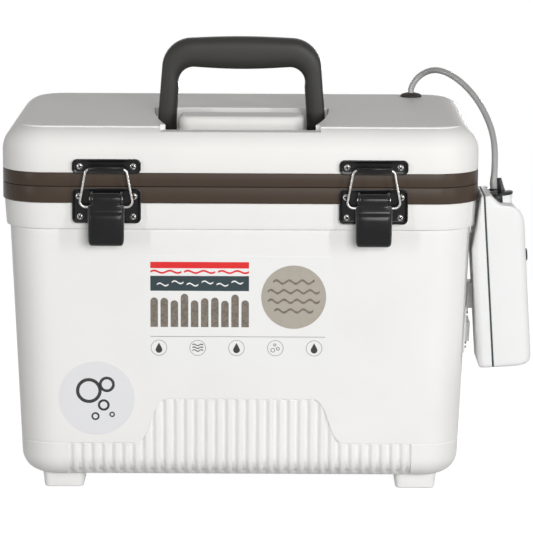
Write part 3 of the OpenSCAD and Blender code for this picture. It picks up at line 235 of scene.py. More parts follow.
def join(name, parts):
    base = parts[0]
    work = bmesh.new()
    for part in parts:
        part.data.transform(part.matrix_basis)
        work.from_mesh(part.data)
    work.to_mesh(base.data)
    work.free()
    for part in parts[1:]:
        bpy.data.objects.remove(part)
    base.matrix_basis = Matrix.Identity(4)
    base.name = name
    return base


def loft(name, rings, mat, closed=False, angle=32, matrix=None):
    n, points, faces = len(rings[0]), [p for ring in rings for p in ring], []
    for i in range(len(rings) if closed else len(rings) - 1):
        a, b = i * n, ((i + 1) % len(rings)) * n
        faces += [(a + k, a + (k + 1) % n, b + (k + 1) % n, b + k) for k in range(n)]
    if not closed:
        faces += [tuple(range(n - 1, -1, -1)), tuple((len(rings) - 1) * n + k for k in range(n))]
    return addMesh(name, points, faces, mat, angle, matrix)


def circle(cx, cy, r, steps):
    return [(cx + r * math.cos(tau * k / steps), cy + r * math.sin(tau * k / steps)) for k in range(steps)]


def lathe(name, profile, mat, matrix, steps=40, angle=32):  # profile of (radius, height), axis +Z
    rings = [[(x, y, z) for x, y in circle(0, 0, r, steps)] for r, z in profile]
    return loft(name, rings, mat, angle=angle, matrix=matrix)


def prism(name, outline, low, high, mat, matrix=None, angle=32):  # outline in XY
    return loft(name, [[(x, y, low) for x, y in outline], [(x, y, high) for x, y in outline]], mat,
                angle=angle, matrix=matrix)


def arcPoints(cx, cy, r, start, end, steps):
    angles = [start + (end - start) * k / steps for k in range(steps + 1)]
    return [(cx + r * cosDeg(a), cy + r * sinDeg(a)) for a in angles]


def roundedOutline(w, d, r, steps=6):
    x, y = w / 2 - r, d / 2 - r
    corners = ((x, -y, -90), (x, y, 0), (-x, y, 90), (-x, -y, 180))
    return [p for cx, cy, start in corners for p in arcPoints(cx, cy, r, start, start + 90, steps)]


def curveThrough(points, steps):
    out = []
    for i in range(len(points) - 1):
        a, b = points[max(i - 1, 0)], points[i]
        c, e = points[i + 1], points[min(i + 2, len(points) - 1)]
        for k in range(steps):
            t = k / steps
            out.append(tuple(0.5 * (2 * q + (r - p) * t + (2 * p - 5 * q + 4 * r - s) * t * t
                                    + (3 * q - p - 3 * r + s) * t ** 3) for p, q, r, s in zip(a, b, c, e)))
    return out + [tuple(points[-1])]


def tube(name, path, radius, mat, sides=14, widen=None, matrix=None):
    spots = [Vector(p) for p in path]
    rings, side = [], None
    for i, spot in enumerate(spots):
        heading = (spots[min(i + 1, len(spots) - 1)] - spots[max(i - 1, 0)]).normalized()
        if side is None:
            across = Vector((0, 1, 0)) if abs(heading.y) < 0.9 else Vector((1, 0, 0))
            side = heading.cross(across).normalized()
        side = (side - heading * side.dot(heading)).normalized()
        up = heading.cross(side)
        r = radius * (widen(i / (len(spots) - 1)) if widen else 1)
        rings.append([tuple(spot + r * (math.cos(tau * k / sides) * side + math.sin(tau * k / sides) * up))
                      for k in range(sides)])
    return loft(name, rings, mat, angle=50, matrix=matrix)


def smoothStep(a, b, t):
    t = min(max((t - a) / (b - a), 0), 1)
    return t * t * (3 - 2 * t)


# cords first: the air hose runs from the grommet to the pump, the drop hose hangs in the well
hose = {"radius": 2.5, "start": (140, 92, 291.8), "bendsFrom": (165, 64, 306),
        "above": (197.875, -67, 238.62), "tip": (198.14, -67, 234.63)}
hoseRoute = [(140, 92, 295), (141, 91, 299), (144, 89, 304), (148, 86, 308), (154, 80, 312), (160, 71, 314),
             (167, 60, 313), (176, 46, 309), (183, 31, 303), (190, 16, 296), (195, 0, 287), (199, -16, 278),
             (201, -31, 269), (200.5, -45, 260), (199.5, -57, 250), (198.5, -64, 243)]
dropRoute = [(140, 92, 291.8), (140, 92, 262), (140, 92, 232), (139, 90, 216), (135, 84, 198), (129, 75, 180),
             (123, 66, 162), (119, 60, 144), (118, 58, 126), (118, 58, 100)]


def relax(path, rounds):  # evens out the bends between its ends
    for _ in range(rounds):
        path = path[:1] + [tuple((a + 2 * b + c) / 4 for a, b, c in zip(*trio))
                           for trio in zip(path, path[1:], path[2:])] + path[-1:]
    return path


hosePath = [hose["start"]] + relax(curveThrough(hoseRoute, 5), 40) + [hose["above"], hose["tip"]]
airHose = tube("airHose", hosePath, hose["radius"], clearHose, sides=18,
               widen=lambda t: 1 + 0.16 * smoothStep(0.95, 0.985, t))
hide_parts("air_hose")
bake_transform(airHose)
dropPath = relax(curveThrough(dropRoute, 4), 12)
dropHose = tube("dropHose", dropPath, hose["radius"], clearHose, sides=14)
fit(dropHose, "drop_hose", "lid")
stonePlace = moveTo((118, 58, 74))
stoneSide = [(0.2, 0), (5.4, 0), (6.6, 0.6), (7, 1.8), (7, 22), (6.6, 24), (5, 25.2), (3.4, 26), (0.2, 26)]
airStone = lathe("airStone", stoneSide, blueStone, stonePlace)
fit(airStone, "air_stone", "lid")
print("hoses laid")

# the box: plan of the bands, levels of the tub and the ribbed skirt
box = {"w": 368, "d": 254, "r": 36, "floor": 12, "collar": 210, "rim": 230.6, "tubTop": 243.2, "lid": 243.6,
       "lidEdge": 254, "top": 288.4, "draft": 2.3, "side": 5.4, "fillet": 17, "lidFillet": 20, "wall": 2.5}
skirt = {"half": 134, "pitch": 8, "low": 40, "high": 75.5, "mid": 53.5, "step": 31, "bend": 2.6, "crown": 0.4,
         "depth": 2.1, "line": 0.7}
pads = {"latch": 102, "latchHalf": 25.3, "latchLow": 216.3, "hinge": 95, "hingeHalf": 24, "hingeLow": 219.4}
slope = math.tan(math.radians(box["draft"]))
bodyR = box["r"] - box["side"]


def halfSizes(z):
    shrink = box["side"] + (box["collar"] - min(z, box["collar"])) * slope
    return box["w"] / 2 - shrink, box["d"] / 2 - shrink


def fieldTop(x):
    t = min(max((abs(x) - skirt["mid"]) / skirt["step"], 0), 1)
    fall = t ** skirt["bend"] / (t ** skirt["bend"] + (1 - t) ** skirt["bend"])
    return skirt["high"] + (skirt["low"] - skirt["high"]) * fall


def ribDepth(x):
    if abs(x) >= skirt["half"]:
        return 0
    d = abs((x + 132 + 4) % skirt["pitch"] - 4) / 4
    hollow = (0.5 + 0.5 * math.cos(math.pi * d)) ** 1.25
    return (skirt["crown"] + skirt["depth"] * hollow) * smoothStep(skirt["half"], skirt["half"] - 1.2, abs(x))


def columns(frontXs, backXs, cx, cy, cornerSteps, sideSteps):
    def corner(way, start):
        return [("corner", way, start + 90 * k / cornerSteps) for k in range(1, cornerSteps)]

    ys = [-cy + 2 * cy * k / sideSteps for k in range(sideSteps + 1)]
    front = [("front", x, 0.0) for x in [-cx] + frontXs + [cx]] + corner((1, -1), -90)
    right = [("right", y, 0.0) for y in ys] + corner((1, 1), 0)
    back = [("back", x, 0.0) for x in [cx] + backXs + [-cx]] + corner((-1, 1), 90)
    return front + right + back + [("left", -y, 0.0) for y in ys] + corner((-1, -1), 180)


# one ring round the box; level gives the height of each column and dent how far it stands in
def boxRing(frontXs, backXs, sizes, level, dent=None, lean=90.0, cornerSteps=14, sideSteps=10):
    ring = []
    out, down = sinDeg(lean), cosDeg(lean)
    cx0, cy0, _ = sizes(level("right", 0))
    for kind, a, b in columns(frontXs, backXs, cx0, cy0, cornerSteps, sideSteps):
        z = level(kind, a if kind == "front" else 0)
        cx, cy, r = sizes(z)
        depth = dent(kind, a, z) if dent else 0
        z += depth * down
        r -= depth * out
        if kind == "front":
            ring.append((max(min(a, cx), -cx), -cy - r, z))
        elif kind == "back":
            ring.append((max(min(a, cx), -cx), cy + r, z))
        elif kind == "right":
            ring.append((cx + r, a, z))
        elif kind == "left":
            ring.append((-cx - r, a, z))
        else:
            angle = math.radians(b)
            ring.append((a[0] * cx + r * math.cos(angle), a[1] * cy + r * math.sin(angle), z))
    return ring


latchEdges = [s * (pads["latch"] + t * pads["latchHalf"]) for s in (-1, 1) for t in (-1, 1)]
ribXs = sorted([-skirt["half"] + 0.5 * k for k in range(4 * skirt["half"] + 1)] + latchEdges)
hingeHalfXs = [pads["hinge"] + x for x in (24, 23.9, 0, -23.9, -24)]
hingeXs = hingeHalfXs + [0] + [-x for x in reversed(hingeHalfXs)]


def tubShell():
    z0, fillet = box["floor"], box["fillet"]
    w0, d0 = halfSizes(z0 + fillet)

    def foot(radius):
        return lambda z: (w0 - bodyR, d0 - bodyR, radius)

    def body(z, wall=0):
        w, d = halfSizes(z)
        return w - bodyR, d - bodyR, bodyR - wall

    def around(inset):  # rings that follow the bands' outline
        return lambda z: (box["w"] / 2 - box["r"], box["d"] / 2 - box["r"], box["r"] - inset)

    def ring(level, sizes, dent=None, lean=90.0):
        return boxRing(ribXs, hingeXs, sizes, level, dent, lean)

    rings = [ring(lambda k, x: z0, foot(bodyR - fillet - 3)), ring(lambda k, x: z0, foot(bodyR - fillet))]
    for a in range(8, 91, 7):
        level = z0 + fillet * (1 - cosDeg(a))
        grow = smoothStep(8, 30, a) * (1 + 0.5 * smoothStep(90, 45, a))
        radius = bodyR - fillet + fillet * sinDeg(a)
        rings.append(ring(lambda k, x, level=level: level, foot(radius),
                          lambda k, x, z, grow=grow: ribDepth(x) * grow if k == "front" else 0, a))

    def fieldRow(share, under, depth, line):
        def level(kind, x):
            top = fieldTop(x) if kind == "front" else skirt["low"]
            return z0 + fillet + (top - under - z0 - fillet) * share

        def dent(kind, x, z):
            if kind == "front" and abs(x) < skirt["half"]:
                return ribDepth(x) * depth + line
            return line
        return ring(level, body, dent)

    for share in (0.2, 0.5, 0.8):
        rings.append(fieldRow(share, 2.2, 1, 0))
    borderRows = ((2.4, 1, 0), (1.1, 0.95, 0.02), (0.8, 0.85, 0.8), (0.15, 0.6, 1), (-0.15, 0, 0.1),
                  (-0.4, 0, 0), (-1.6, 0, 0))
    for under, depth, line in borderRows:
        rings.append(fieldRow(1, under, depth, line * skirt["line"]))

    def wallRow(share):  # from just over the ribs up to the collar
        def level(kind, x):
            low = (fieldTop(x) if kind == "front" else skirt["low"]) + 1.6
            return low + (box["collar"] - 0.4 - low) * share
        return ring(level, body)

    rings += [wallRow(share) for share in (0.3, 0.6, 0.9, 0.985, 1)]

    def padDent(inset):  # the collar stands out in flat pads under the latches and hinges
        def dent(kind, x, z):
            latchPad = (kind == "front" and abs(abs(x) - pads["latch"]) <= pads["latchHalf"] + 0.01
                        and z >= pads["latchLow"] - 0.01)
            hingePad = (kind == "back" and abs(abs(x) - pads["hinge"]) <= pads["hingeHalf"] - 0.05
                        and z >= pads["hingeLow"] - 0.01)
            return -inset if latchPad or hingePad else 0
        return dent

    collarRows = ((210, 4.4), (210.05, 3.4), (210.35, 2.85), (211, 2.6), (214, 2.4), (216.2, 2.22),
                  (216.3, 2.21), (219.3, 1.97), (219.4, 1.96), (229.6, 1.26), (230.2, 1.3), (230.5, 1.8),
                  (230.55, 6.2), (240.1, 6.2), (240.2, 6.3), (240.2, 7.8), (240.1, 7.9), (211, 7.9))
    for z, inset in collarRows:
        rings.append(ring(lambda k, x, z=z: z, around(inset), padDent(inset) if inset < 2.5 else None))

    for z in (209, 120, z0 + fillet):
        rings.append(ring(lambda k, x, z=z: z, lambda level: body(level, box["wall"])))
    for a in range(75, -1, -15):
        level = z0 + box["wall"] + (fillet - box["wall"]) * (1 - cosDeg(a))
        radius = bodyR - fillet + (fillet - box["wall"]) * sinDeg(a)
        rings.append(ring(lambda k, x, level=level: level, foot(radius)))
    shell = loft("tubShell", rings, whiteShell, angle=28)
    return fit(shell, "tub_shell", "tub")


def bandRing(inset, z):
    xs = [-140, -100, -50, 0, 50, 100, 140]
    cx, cy = box["w"] / 2 - box["r"], box["d"] / 2 - box["r"]
    return boxRing(xs, xs[::-1], lambda level: (cx, cy, box["r"] - inset), lambda k, x: z)


def band(name, low, high, node, body):
    profile = [(0.45, low), (0.12, low + 0.12), (0, low + 0.45), (0, high - 0.45), (0.12, high - 0.12),
               (0.45, high), (5.8, high), (6, high - 0.2), (6, low + 0.2), (5.8, low)]
    obj = loft(name, [bandRing(i, z) for i, z in profile], bandBrown, closed=True)
    return fit(obj, node, body)


tubShell()
band("tubBand", box["rim"], box["tubTop"], "tub_band", "tub")
band("lidBand", box["lid"], box["lidEdge"], "lid_band", "lid")

feetPlan = {"w": 31, "d": 34, "x": 138.01, "y": 79.51, "round": 4.5}
footRows = [(2.8, 0.0), (1.1, 0.2), (0.25, 0.9), (-0.1, 2.4), (-0.5, 7), (-1.0, 11), (-1.8, 13.2), (-1.8, 15)]


def feet():
    parts = []
    for sx in (-1, 1):
        for sy in (-1, 1):
            rings = []
            for inset, z in footRows:
                outline = roundedOutline(feetPlan["w"] - 2 * inset, feetPlan["d"] - 2 * inset,
                                         max(feetPlan["round"] - inset, 1.2))
                rings.append([(x + sx * feetPlan["x"], y + sy * feetPlan["y"], z) for x, y in outline])
            parts.append(loft("foot", rings, whiteShell))
    obj = join("tubFeet", parts)
    return fit(obj, "feet", "tub")


feet()
print("tub, bands and feet built")

# lid: dome with a fine bead round its flat top, the handle's recess and the raised block in it
recess = {"half": 70, "taper": 12.4, "back": 8, "lip": -105, "floor": 271.9, "lipFloor": 284.6,
          "lipHalf": 61.4, "bead": 0.9, "wall": 2.5, "front": -131}
island = {"w": 98, "front": 53.5, "back": 20, "r": 10}


def recessHalf(y):
    return recess["half"] - recess["taper"] * ((recess["back"] - y) / (recess["back"] - recess["lip"])) ** 2


def recessOutline(grow):
    right = [(recessHalf(y) + grow, y) for y in
             [recess["lip"] + (recess["back"] - recess["lip"]) * k / 16 for k in range(16)]]
    back = arcPoints(recess["half"] - 5, recess["back"] - 5 + grow, 5 + grow, 0, 90, 5)
    side = [(recessHalf(recess["lip"]) + grow, recess["lip"] - grow)] + right + back
    return side + [(-x, y) for x, y in reversed(side)]


def lidShell():
    top, fillet = box["top"], box["lidFillet"]
    z1 = top - fillet
    rings = [bandRing(i, z) for i, z in ((0.6, 254.0), (0.15, 254.15), (0, 254.6), (0, 262), (0, z1))]
    beadRows = [(69, 0), (70.6, 0), (71.2, 0.5), (72.2, 0.85), (73.6, 1), (75.5, 0.9), (78, 0.3), (80, 0),
                (85, 0)]
    for a, rise in [(a, 0) for a in range(6, 67, 6)] + beadRows:
        plain, proud = [bandRing(fillet - (fillet + h) * cosDeg(a), z1 + (fillet + h) * sinDeg(a))
                        for h in (0, rise * recess["bead"])]
        ring = []
        for p, q in zip(plain, proud):  # the bead fades out round the front corners
            share = smoothStep(-93, -106, p[1])
            ring.append(tuple(u + (v - u) * share for u, v in zip(p, q)))
        rings.append(ring)
    rings += [bandRing(20, top), bandRing(22, top), bandRing(26, top)]
    lid = loft("lidShell", rings, lidWhite)
    wall, front = recess["wall"], recess["front"]
    inner = fillet - wall
    rings = [bandRing(wall, 253), bandRing(wall, z1)]
    rings += [bandRing(wall + inner * (1 - cosDeg(a)), z1 + inner * sinDeg(a)) for a in range(15, 91, 15)]
    hollow = loft("hollow", rings, linerWhite)
    w = recess["lipHalf"]
    lipOutline = [(-w - wall, front), (w + wall, front), (w + wall, -103), (-w - wall, -103)]
    combine(hollow, prism("wall", recessOutline(wall), recess["floor"] - wall, top + 6, linerWhite))
    combine(hollow, prism("lipWall", lipOutline, recess["lipFloor"] - wall, top + 7, linerWhite))
    combine(lid, hollow)
    combine(lid, prism("room", recessOutline(0), recess["floor"], top + 6, lidWhite))
    notch = [(-w, front), (w, front), (w, -104), (-w, -104)]
    combine(lid, prism("lip", notch, recess["lipFloor"], top + 7, lidWhite))
    depth = island["front"] - island["back"]
    rings = []
    for inset, z in ((0, recess["floor"] - 1), (0, 285.6), (0.35, 286.6), (1.6, 287.9), (2.6, top),
                     (4.5, top)):
        outline = roundedOutline(island["w"] - 2 * inset, depth - 2 * inset, island["r"] - min(inset, 3), 8)
        rings.append([(x, y - island["back"] - depth / 2, z) for x, y in outline])
    combine(lid, loft("block", rings, lidWhite), "UNION", angle=26)
    return fit(lid, "lid_shell", "lid")


lidShell()

grommetPlace = moveTo((140, 92, 0))
grommetSide = [(2.75, 284), (5, 284), (5, 288.2), (8.5, 288.42), (8.85, 288.9), (8.6, 289.9), (7.4, 290.9),
               (5.2, 291.5), (3.6, 291.8), (2.9, 291.5), (2.75, 290)]
grommet = lathe("hoseGrommet", grommetSide, softRubber, grommetPlace, steps=36)
fit(grommet, "hose_grommet", "lid")
print("lid and grommet built")

# handle: sections between an outer and an inner line, fuller in the grip than in the legs
grip = {"pivotY": -13.5, "pivotZ": 280.9, "half": 66.8, "leg": 15, "thick": 16, "outerArc": (39.5, 42, 24),
        "innerArc": (38.3, 30.8, 12), "crown": 1.2, "sag": 1.6, "legPower": (5.2, 2.7), "gripPower": 3.0}


def handle():
    outer, inner = [], []
    ax, az, ar = grip["outerArc"]
    bx, bz, br = grip["innerArc"]
    for z in (-7.9, -7.2, -5.6, -3, 0, 8, 16, 24, 31, 37):
        outer.append((grip["half"] - 3.3 * max(z, 0) / az, z))
        inner.append((grip["half"] - grip["leg"] - 1.5 * max(z, 0) / 31, z if z <= 0 else z * bz / az))
    for k in range(11):
        outer.append((ax + ar * cosDeg(9 * k), az + ar * sinDeg(9 * k)))
        inner.append((bx + br * cosDeg(9 * k), bz + br * sinDeg(9 * k)))
    for k in range(1, 9):
        t = k / 8
        outer.append((ax * (1 - t), az + ar + grip["crown"] * math.sin(t * math.pi / 2)))
        inner.append((bx * (1 - t), bz + br - grip["sag"] * math.sin(t * math.pi / 2)))
    outer += [(-x, z) for x, z in outer[-2::-1]]
    inner += [(-x, z) for x, z in inner[-2::-1]]
    rings, steps = [], 36
    for (ox, oz), (ix, iz) in zip(outer, inner):
        half = grip["thick"] / 2 if oz > 0 else math.sqrt(max((grip["thick"] / 2) ** 2 - oz ** 2, 0.6))
        middle = smoothStep(30, 62, oz)  # 0 in the legs, 1 in the grip
        ring = []
        for k in range(steps):
            c, s = math.cos(tau * k / steps), math.sin(tau * k / steps)
            leg = grip["legPower"][0 if c > 0 else 1]
            power = 2 / (leg * (1 - middle) + grip["gripPower"] * middle)
            u = math.copysign(abs(c) ** power, c)
            v = math.copysign(abs(s) ** power, s)
            t = (1 + u) / 2
            ring.append((ix + (ox - ix) * t, grip["pivotY"] + half * v,
                         grip["pivotZ"] + iz + (oz - iz) * t))
        rings.append(ring)
    obj = loft("handle", rings, handleGrey, angle=40)
    return fit(obj, "handle", "handle")


handle()
print("handle built")

# latches: keeper, plate, bail and lever, once for each side
latch = {"x": 102, "front": -127, "plateW": 52.6, "plateT": 1.5, "plateTop": 242.3, "plateH": 27,
         "keeperTop": 264.7, "keeperH": 11.3, "flange": 2.6, "r": 4, "hookW": 27, "barY": -133.85,
         "barZ": 257.4, "bailH": 28.75, "leverY": -134.85, "leverZ": 235.15, "roll": 4.2}
screw = {"head": 5.3, "height": 1.3, "shank": 5.6, "root": 1.5, "slot": 0.95}


def plate(name, x0, top, h, bottomRim):
    rows, t = [], latch["plateT"]
    # inset of a layer, its height over the lid, its share of the raised flange and of the rounding there
    layers = [(0.15, 0, 0, 0), (0, 0.3, 0, 0), (0, t, 1, -0.45), (0.25, t, 1, -0.12), (0.75, t, 1, 0),
              (1.15, t, 1, -0.25), (1.5, t, 0.55, 0), (2.0, t, 0.06, 0), (2.6, t, 0, 0), (4.5, t, 0, 0)]
    for inset, base, share, ease in layers:
        outline = roundedOutline(latch["plateW"] - 2 * inset, h - 2 * inset, max(latch["r"] - inset, 0.6), 7)
        ring = []
        for x, z in outline:
            rim = smoothStep(19.5, 23.5, abs(x)) * (1 if bottomRim or z > -h / 2 + 3 else 0.4)
            depth = base + (latch["flange"] - t) * rim * share + ease * min(rim + 0.4, 1)
            ring.append((x0 + x, latch["front"] - depth, top - h / 2 + z))
        rows.append(ring)
    return loft(name, rows, blackMetal, angle=38)


def strip(name, line, thickness, x0, x1, mat):  # sheet bent along a side view of (y, z)
    left, right = [], []
    for i, (y, z) in enumerate(line):
        a, b = Vector(line[max(i - 1, 0)]), Vector(line[min(i + 1, len(line) - 1)])
        d = (b - a).normalized() * thickness / 2
        left.append((y - d.y, z + d.x))
        right.append((y + d.y, z - d.x))
    outline = left + right[::-1]
    obj = loft(name, [[(x, y, z) for y, z in outline] for x in (x0, x1)], mat)
    return settle(soften(obj, 0.35), 40)


def screws(name, spots, way):
    r, high, low = screw["head"] / 2, screw["height"], -screw["shank"]
    profile = [(0.1, low), (1.1, low), (screw["root"], low + 0.7), (screw["root"], -0.05), (r - 0.15, -0.02),
               (r, 0.25), (r - 0.2, 0.7), (r - 0.75, 1.05), (1.1, high), (0.15, high)]
    master = lathe("screw", profile, brightSteel, Matrix.Identity(4), steps=28)
    groove = roundedOutline(3.6, screw["slot"], 0.3, 3)
    # the cross recess walls take the black metal: painted shade in the recess
    for angle in (20, 110):
        combine(master, prism("cross", groove, high - 0.9, high + 1, blackMetal, turned(angle, "Z")))
    parts = []
    for spot in spots:
        copy = bpy.data.objects.new("screw", master.data.copy())
        copy.data.transform(moveTo(spot) @ way @ Matrix.Rotation(0.7 * len(parts), 4, "Z"))
        bpy.context.scene.collection.objects.link(copy)
        parts.append(copy)
    bpy.data.objects.remove(master)
    obj = join(name, parts)
    shade(obj, 35)
    return obj


def lever(name, x0):
    rows, roll = [], latch["roll"]
    for a in range(150, -1, -15):  # rolled top, from behind the pivot to the front
        rows.append((-roll * cosDeg(a), roll * sinDeg(a), cosDeg(a), -sinDeg(a), 10.2, 0.5, 0.9))
    # face: y, z, half width, rounding of the sides and depth of the turned-back edges
    face = [(-4.2, -1.5, 10.2, 0.6, 1.0), (-4.2, -4.3, 10.2, 0.8, 1.4), (-4.2, -5.0, 12.6, 1.6, 6.9),
            (-4.2, -5.8, 13.7, 2.0, 7.6), (-4.25, -8.2, 13.9, 2.0, 7.4), (-4.3, -9.5, 13.9, 2.1, 6.2),
            (-4.75, -10.5, 13.9, 2.4, 5.2), (-5.45, -11.8, 13.9, 3.0, 5.0), (-5.85, -13.2, 13.9, 3.4, 4.8),
            (-6.0, -15.5, 13.9, 3.5, 4.7), (-6.0, -22, 13.9, 3.5, 4.3), (-5.95, -28, 13.85, 3.4, 3.9),
            (-5.75, -31.8, 13.7, 3.1, 3.6), (-5.2, -34, 13.3, 2.6, 3.0), (-4.2, -35.4, 12.6, 2.0, 2.4),
            (-2.9, -36, 11.6, 1.2, 1.6)]
    rows += [(y, z, 1.0, 0.0, half, rounding, depth) for y, z, half, rounding, depth in face]
    grid = []
    for y, z, ny, nz, half, rounding, depth in rows:
        line = [(half, depth), (half, (rounding + depth) / 2), (half, rounding)]
        line += [(half - rounding * (1 - cosDeg(a)), rounding * (1 - sinDeg(a))) for a in (25, 50, 72)]
        line += [(half - rounding, 0), (half * 0.5, -0.12), (0, -0.16)]
        line += [(-x, d) for x, d in line[-2::-1]]
        grid.append([(x0 + x, latch["leverY"] + y + ny * d, latch["leverZ"] + z + nz * d) for x, d in line])
    n = len(grid[0])
    faces = [(i * n + k, i * n + k + 1, (i + 1) * n + k + 1, (i + 1) * n + k)
             for i in range(len(grid) - 1) for k in range(n - 1)]
    mesh = bpy.data.meshes.new(name)
    mesh.from_pydata([metres(p) for row in grid for p in row], [], faces)
    mesh.materials.append(blackMetal)
    obj = bpy.data.objects.new(name, mesh)
    bpy.context.scene.collection.objects.link(obj)
    work = bmesh.new()
    work.from_mesh(mesh)
    bmesh.ops.recalc_face_normals(work, faces=work.faces)
    if sum(f.normal.y * f.calc_area() for f in work.faces) > 0:  # the sheet's outside looks forward
        bmesh.ops.reverse_faces(work, faces=work.faces)
    work.to_mesh(mesh)
    work.free()
    thick = obj.modifiers.new("thick", "SOLIDIFY")
    thick.thickness, thick.offset = 1.1 * mm, -1
    settle(obj, 50)
    return obj


def bailPath(x0):
    y, high = latch["barY"], latch["bailH"]
    low = latch["barZ"] - high
    half = [(0, high), (9, high), (12.6, high)] + arcPoints(12.6, high - 3.5, 3.5, 78, 15, 6)
    half += arcPoints(15.5, 4.5, 4.5, -4, -80, 7) + [(14.6, 0.0), (12.0, 0)]
    return [(x0 - x, y, low + z) for x, z in half[:0:-1]] + [(x0 + x, y, low + z) for x, z in half]


ridgeLine = [(-127.6, 255.9), (-130, 255.5), (-134.4, 255.33), (-135.4, 255.7), (-135.93, 256.6),
             (-135.95, 258.6), (-135.7, 259.6)]
pinSide = [(0.2, -12.95), (1.6, -12.95), (2.0, -12.6), (2.0, -12.15), (1.5, -12.1), (1.5, 12.1), (2.0, 12.15),
           (2.0, 12.6), (1.6, 12.95), (0.2, 12.95)]
for side, sign in (("left", -1), ("right", 1)):
    x0 = sign * latch["x"]
    keeper = plate("keeper_" + side, x0, latch["keeperTop"], latch["keeperH"], False)
    hook = latch["hookW"] / 2
    ridge = strip("ridge", ridgeLine, 1.2, x0 - hook, x0 + hook, blackMetal)
    keeper = join("keeper" + side.capitalize(), [keeper, ridge])
    shade(keeper, 40)
    fit(keeper, "keeper_" + side, "lid")
    base = plate("plate", x0, latch["plateTop"], latch["plateH"], True)
    ears = []
    for s in (-1, 1):
        ear = arcPoints(latch["leverY"], latch["leverZ"], 4, 90, 270, 12)
        ear += [(-128.2, latch["leverZ"] - 4.6), (-128.2, latch["leverZ"] + 4.6)]
        middle = x0 + s * 11.3
        piece = loft("ear", [[(x, y, z) for y, z in ear] for x in (middle - 0.8, middle + 0.8)], blackMetal)
        ears.append(settle(soften(piece, 0.3), 40))
    base = join("latchPlate" + side.capitalize(), [base] + ears)
    shade(base, 40)
    fit(base, "latch_plate_" + side, "tub")
    bail = tube("bail" + side.capitalize(), bailPath(x0), 1.15, brightSteel, sides=14)
    fit(bail, "bail_" + side, "bail_" + side)
    arm = lever("lever" + side.capitalize(), x0)
    fit(arm, "lever_" + side, "lever_" + side)
    pin = lathe("leverPin" + side.capitalize(), pinSide, brightSteel,
                moveTo((x0, latch["leverY"], latch["leverZ"])) @ turned(90, "Y"), steps=20)
    fit(pin, "lever_pin_" + side, "tub")

forward = turned(90, "X")
plateFace = latch["front"] - latch["plateT"]
keeperSpots = [(s * latch["x"] + t * 20.3, plateFace, latch["keeperTop"] - 5.6)
               for s in (-1, 1) for t in (-1, 1)]
plateSpots = [(s * latch["x"] + t * x, plateFace, z) for s in (-1, 1) for t in (-1, 1)
              for x, z in ((21.2, 236.1), (20.3, 220.5))]
keeperScrews = screws("keeperScrews", keeperSpots, forward)
fit(keeperScrews, "keeper_screws", "lid")
latchScrews = screws("latchScrews", plateSpots, forward)
fit(latchScrews, "latch_screws", "tub")
print("latches built")

# pump: two case halves with a seam between them, knob, nozzle and button, all in the pump's own frame
pump = {"w": 57, "h": 135, "seam": 10.5, "seamT": 1.4, "wall": 2, "lean": 3.8, "at": (185.568, -83, 99.5),
        "footR": 3, "topR": 1.6}
pumpFrame = moveTo(pump["at"]) @ turned(-pump["lean"], "Y")
outerLine = [(32.3, 0), (35.3, 0.4), (38, 1.4), (39.9, 2.9), (40.9, 4.9), (41.3, 7.6), (41.3, 112),
             (40.8, 115), (40.1, 117.5), (37.9, 122), (35.3, 124.8), (31.7, 126.3), (26, 127),
             (22.6, 128.6), (18.9, 132.4), (16.6, 135)]
innerLine = [(0.0, 0), (0.0, 92), (4.9, 112), (8.4, 131.1), (8.7, 135)]
caseLevels = [0, 0.3, 0.9, 1.8, 3, 4.6, 6.4, 8.5, 30, 60, 92, 100, 108, 112, 113.5, 115, 116.4, 117.7, 119,
              120.2, 121.3, 122.3, 123.2, 124, 124.7, 125.3, 125.8, 126.2, 126.6, 127, 127.5, 128.2, 129, 130,
              131, 132, 132.8, 133.5, 134.1, 134.6, 134.9, 135]


def lineAt(line, z):
    for (x0, z0), (x1, z1) in zip(line, line[1:]):
        if z <= z1:
            return x0 + (x1 - x0) * (z - z0) / (z1 - z0) if z1 > z0 else x1
    return line[-1][0]


def pumpRing(z, xa, xb, ra, rb, half):
    ra, rb = min(ra, half - 0.1, (xb - xa) * 0.48), min(rb, half - 0.1, (xb - xa) * 0.48)
    corners = ((xb - rb, rb, -1, -90), (xb - rb, rb, 1, 0), (xa + ra, ra, 1, 90), (xa + ra, ra, -1, 180))
    return [(x, y, z) for cx, r, side, start in corners
            for x, y in arcPoints(cx, side * (half - r), r, start, start + 90, 7)]


def caseRound(z):  # how far the rounded foot and top draw the sides in
    foot, top = pump["footR"], pump["topR"]
    low = foot - math.sqrt(max(foot ** 2 - (foot - min(z, foot)) ** 2, 0))
    return low + top - math.sqrt(max(top ** 2 - (top - min(pump["h"] - z, top)) ** 2, 0))


def pumpHalf(name, outer, inset, mat):
    rings = []
    for z in caseLevels:
        rise = inset + z * (pump["h"] - 2 * inset) / pump["h"]
        soft = caseRound(z)
        xa, xb = lineAt(innerLine, z) + inset + soft * 0.6, lineAt(outerLine, z) - inset
        half = pump["w"] / 2 - inset - soft
        r = 7 - 3 * smoothStep(100, 125, z)
        past = 3 if inset else 0  # the hollows run on through the seam
        if outer:
            start = pump["seam"] + pump["seamT"] - past
            rings.append(pumpRing(rise, start, max(xb, start + 1), 0.6, r, half))
        else:
            rings.append(pumpRing(rise, xa, pump["seam"] + past, r, 0.6, half))
    return loft(name, rings, mat, angle=40)


knobAt, nozzleAt, buttonAt = (25.9, -4, 132), (21.5, 16, 131.5), (41.3, 0, 83)


def local(spot, turn=None):
    return pumpFrame @ moveTo(spot) @ (turn or Matrix.Identity(4))


def cylinderAt(radius, low, high, place, steps=36):
    return lathe("cutter", [(0.2, low), (radius, low), (radius, high), (0.2, high)], pumpWhite, place, steps)


outX = turned(90, "Y")
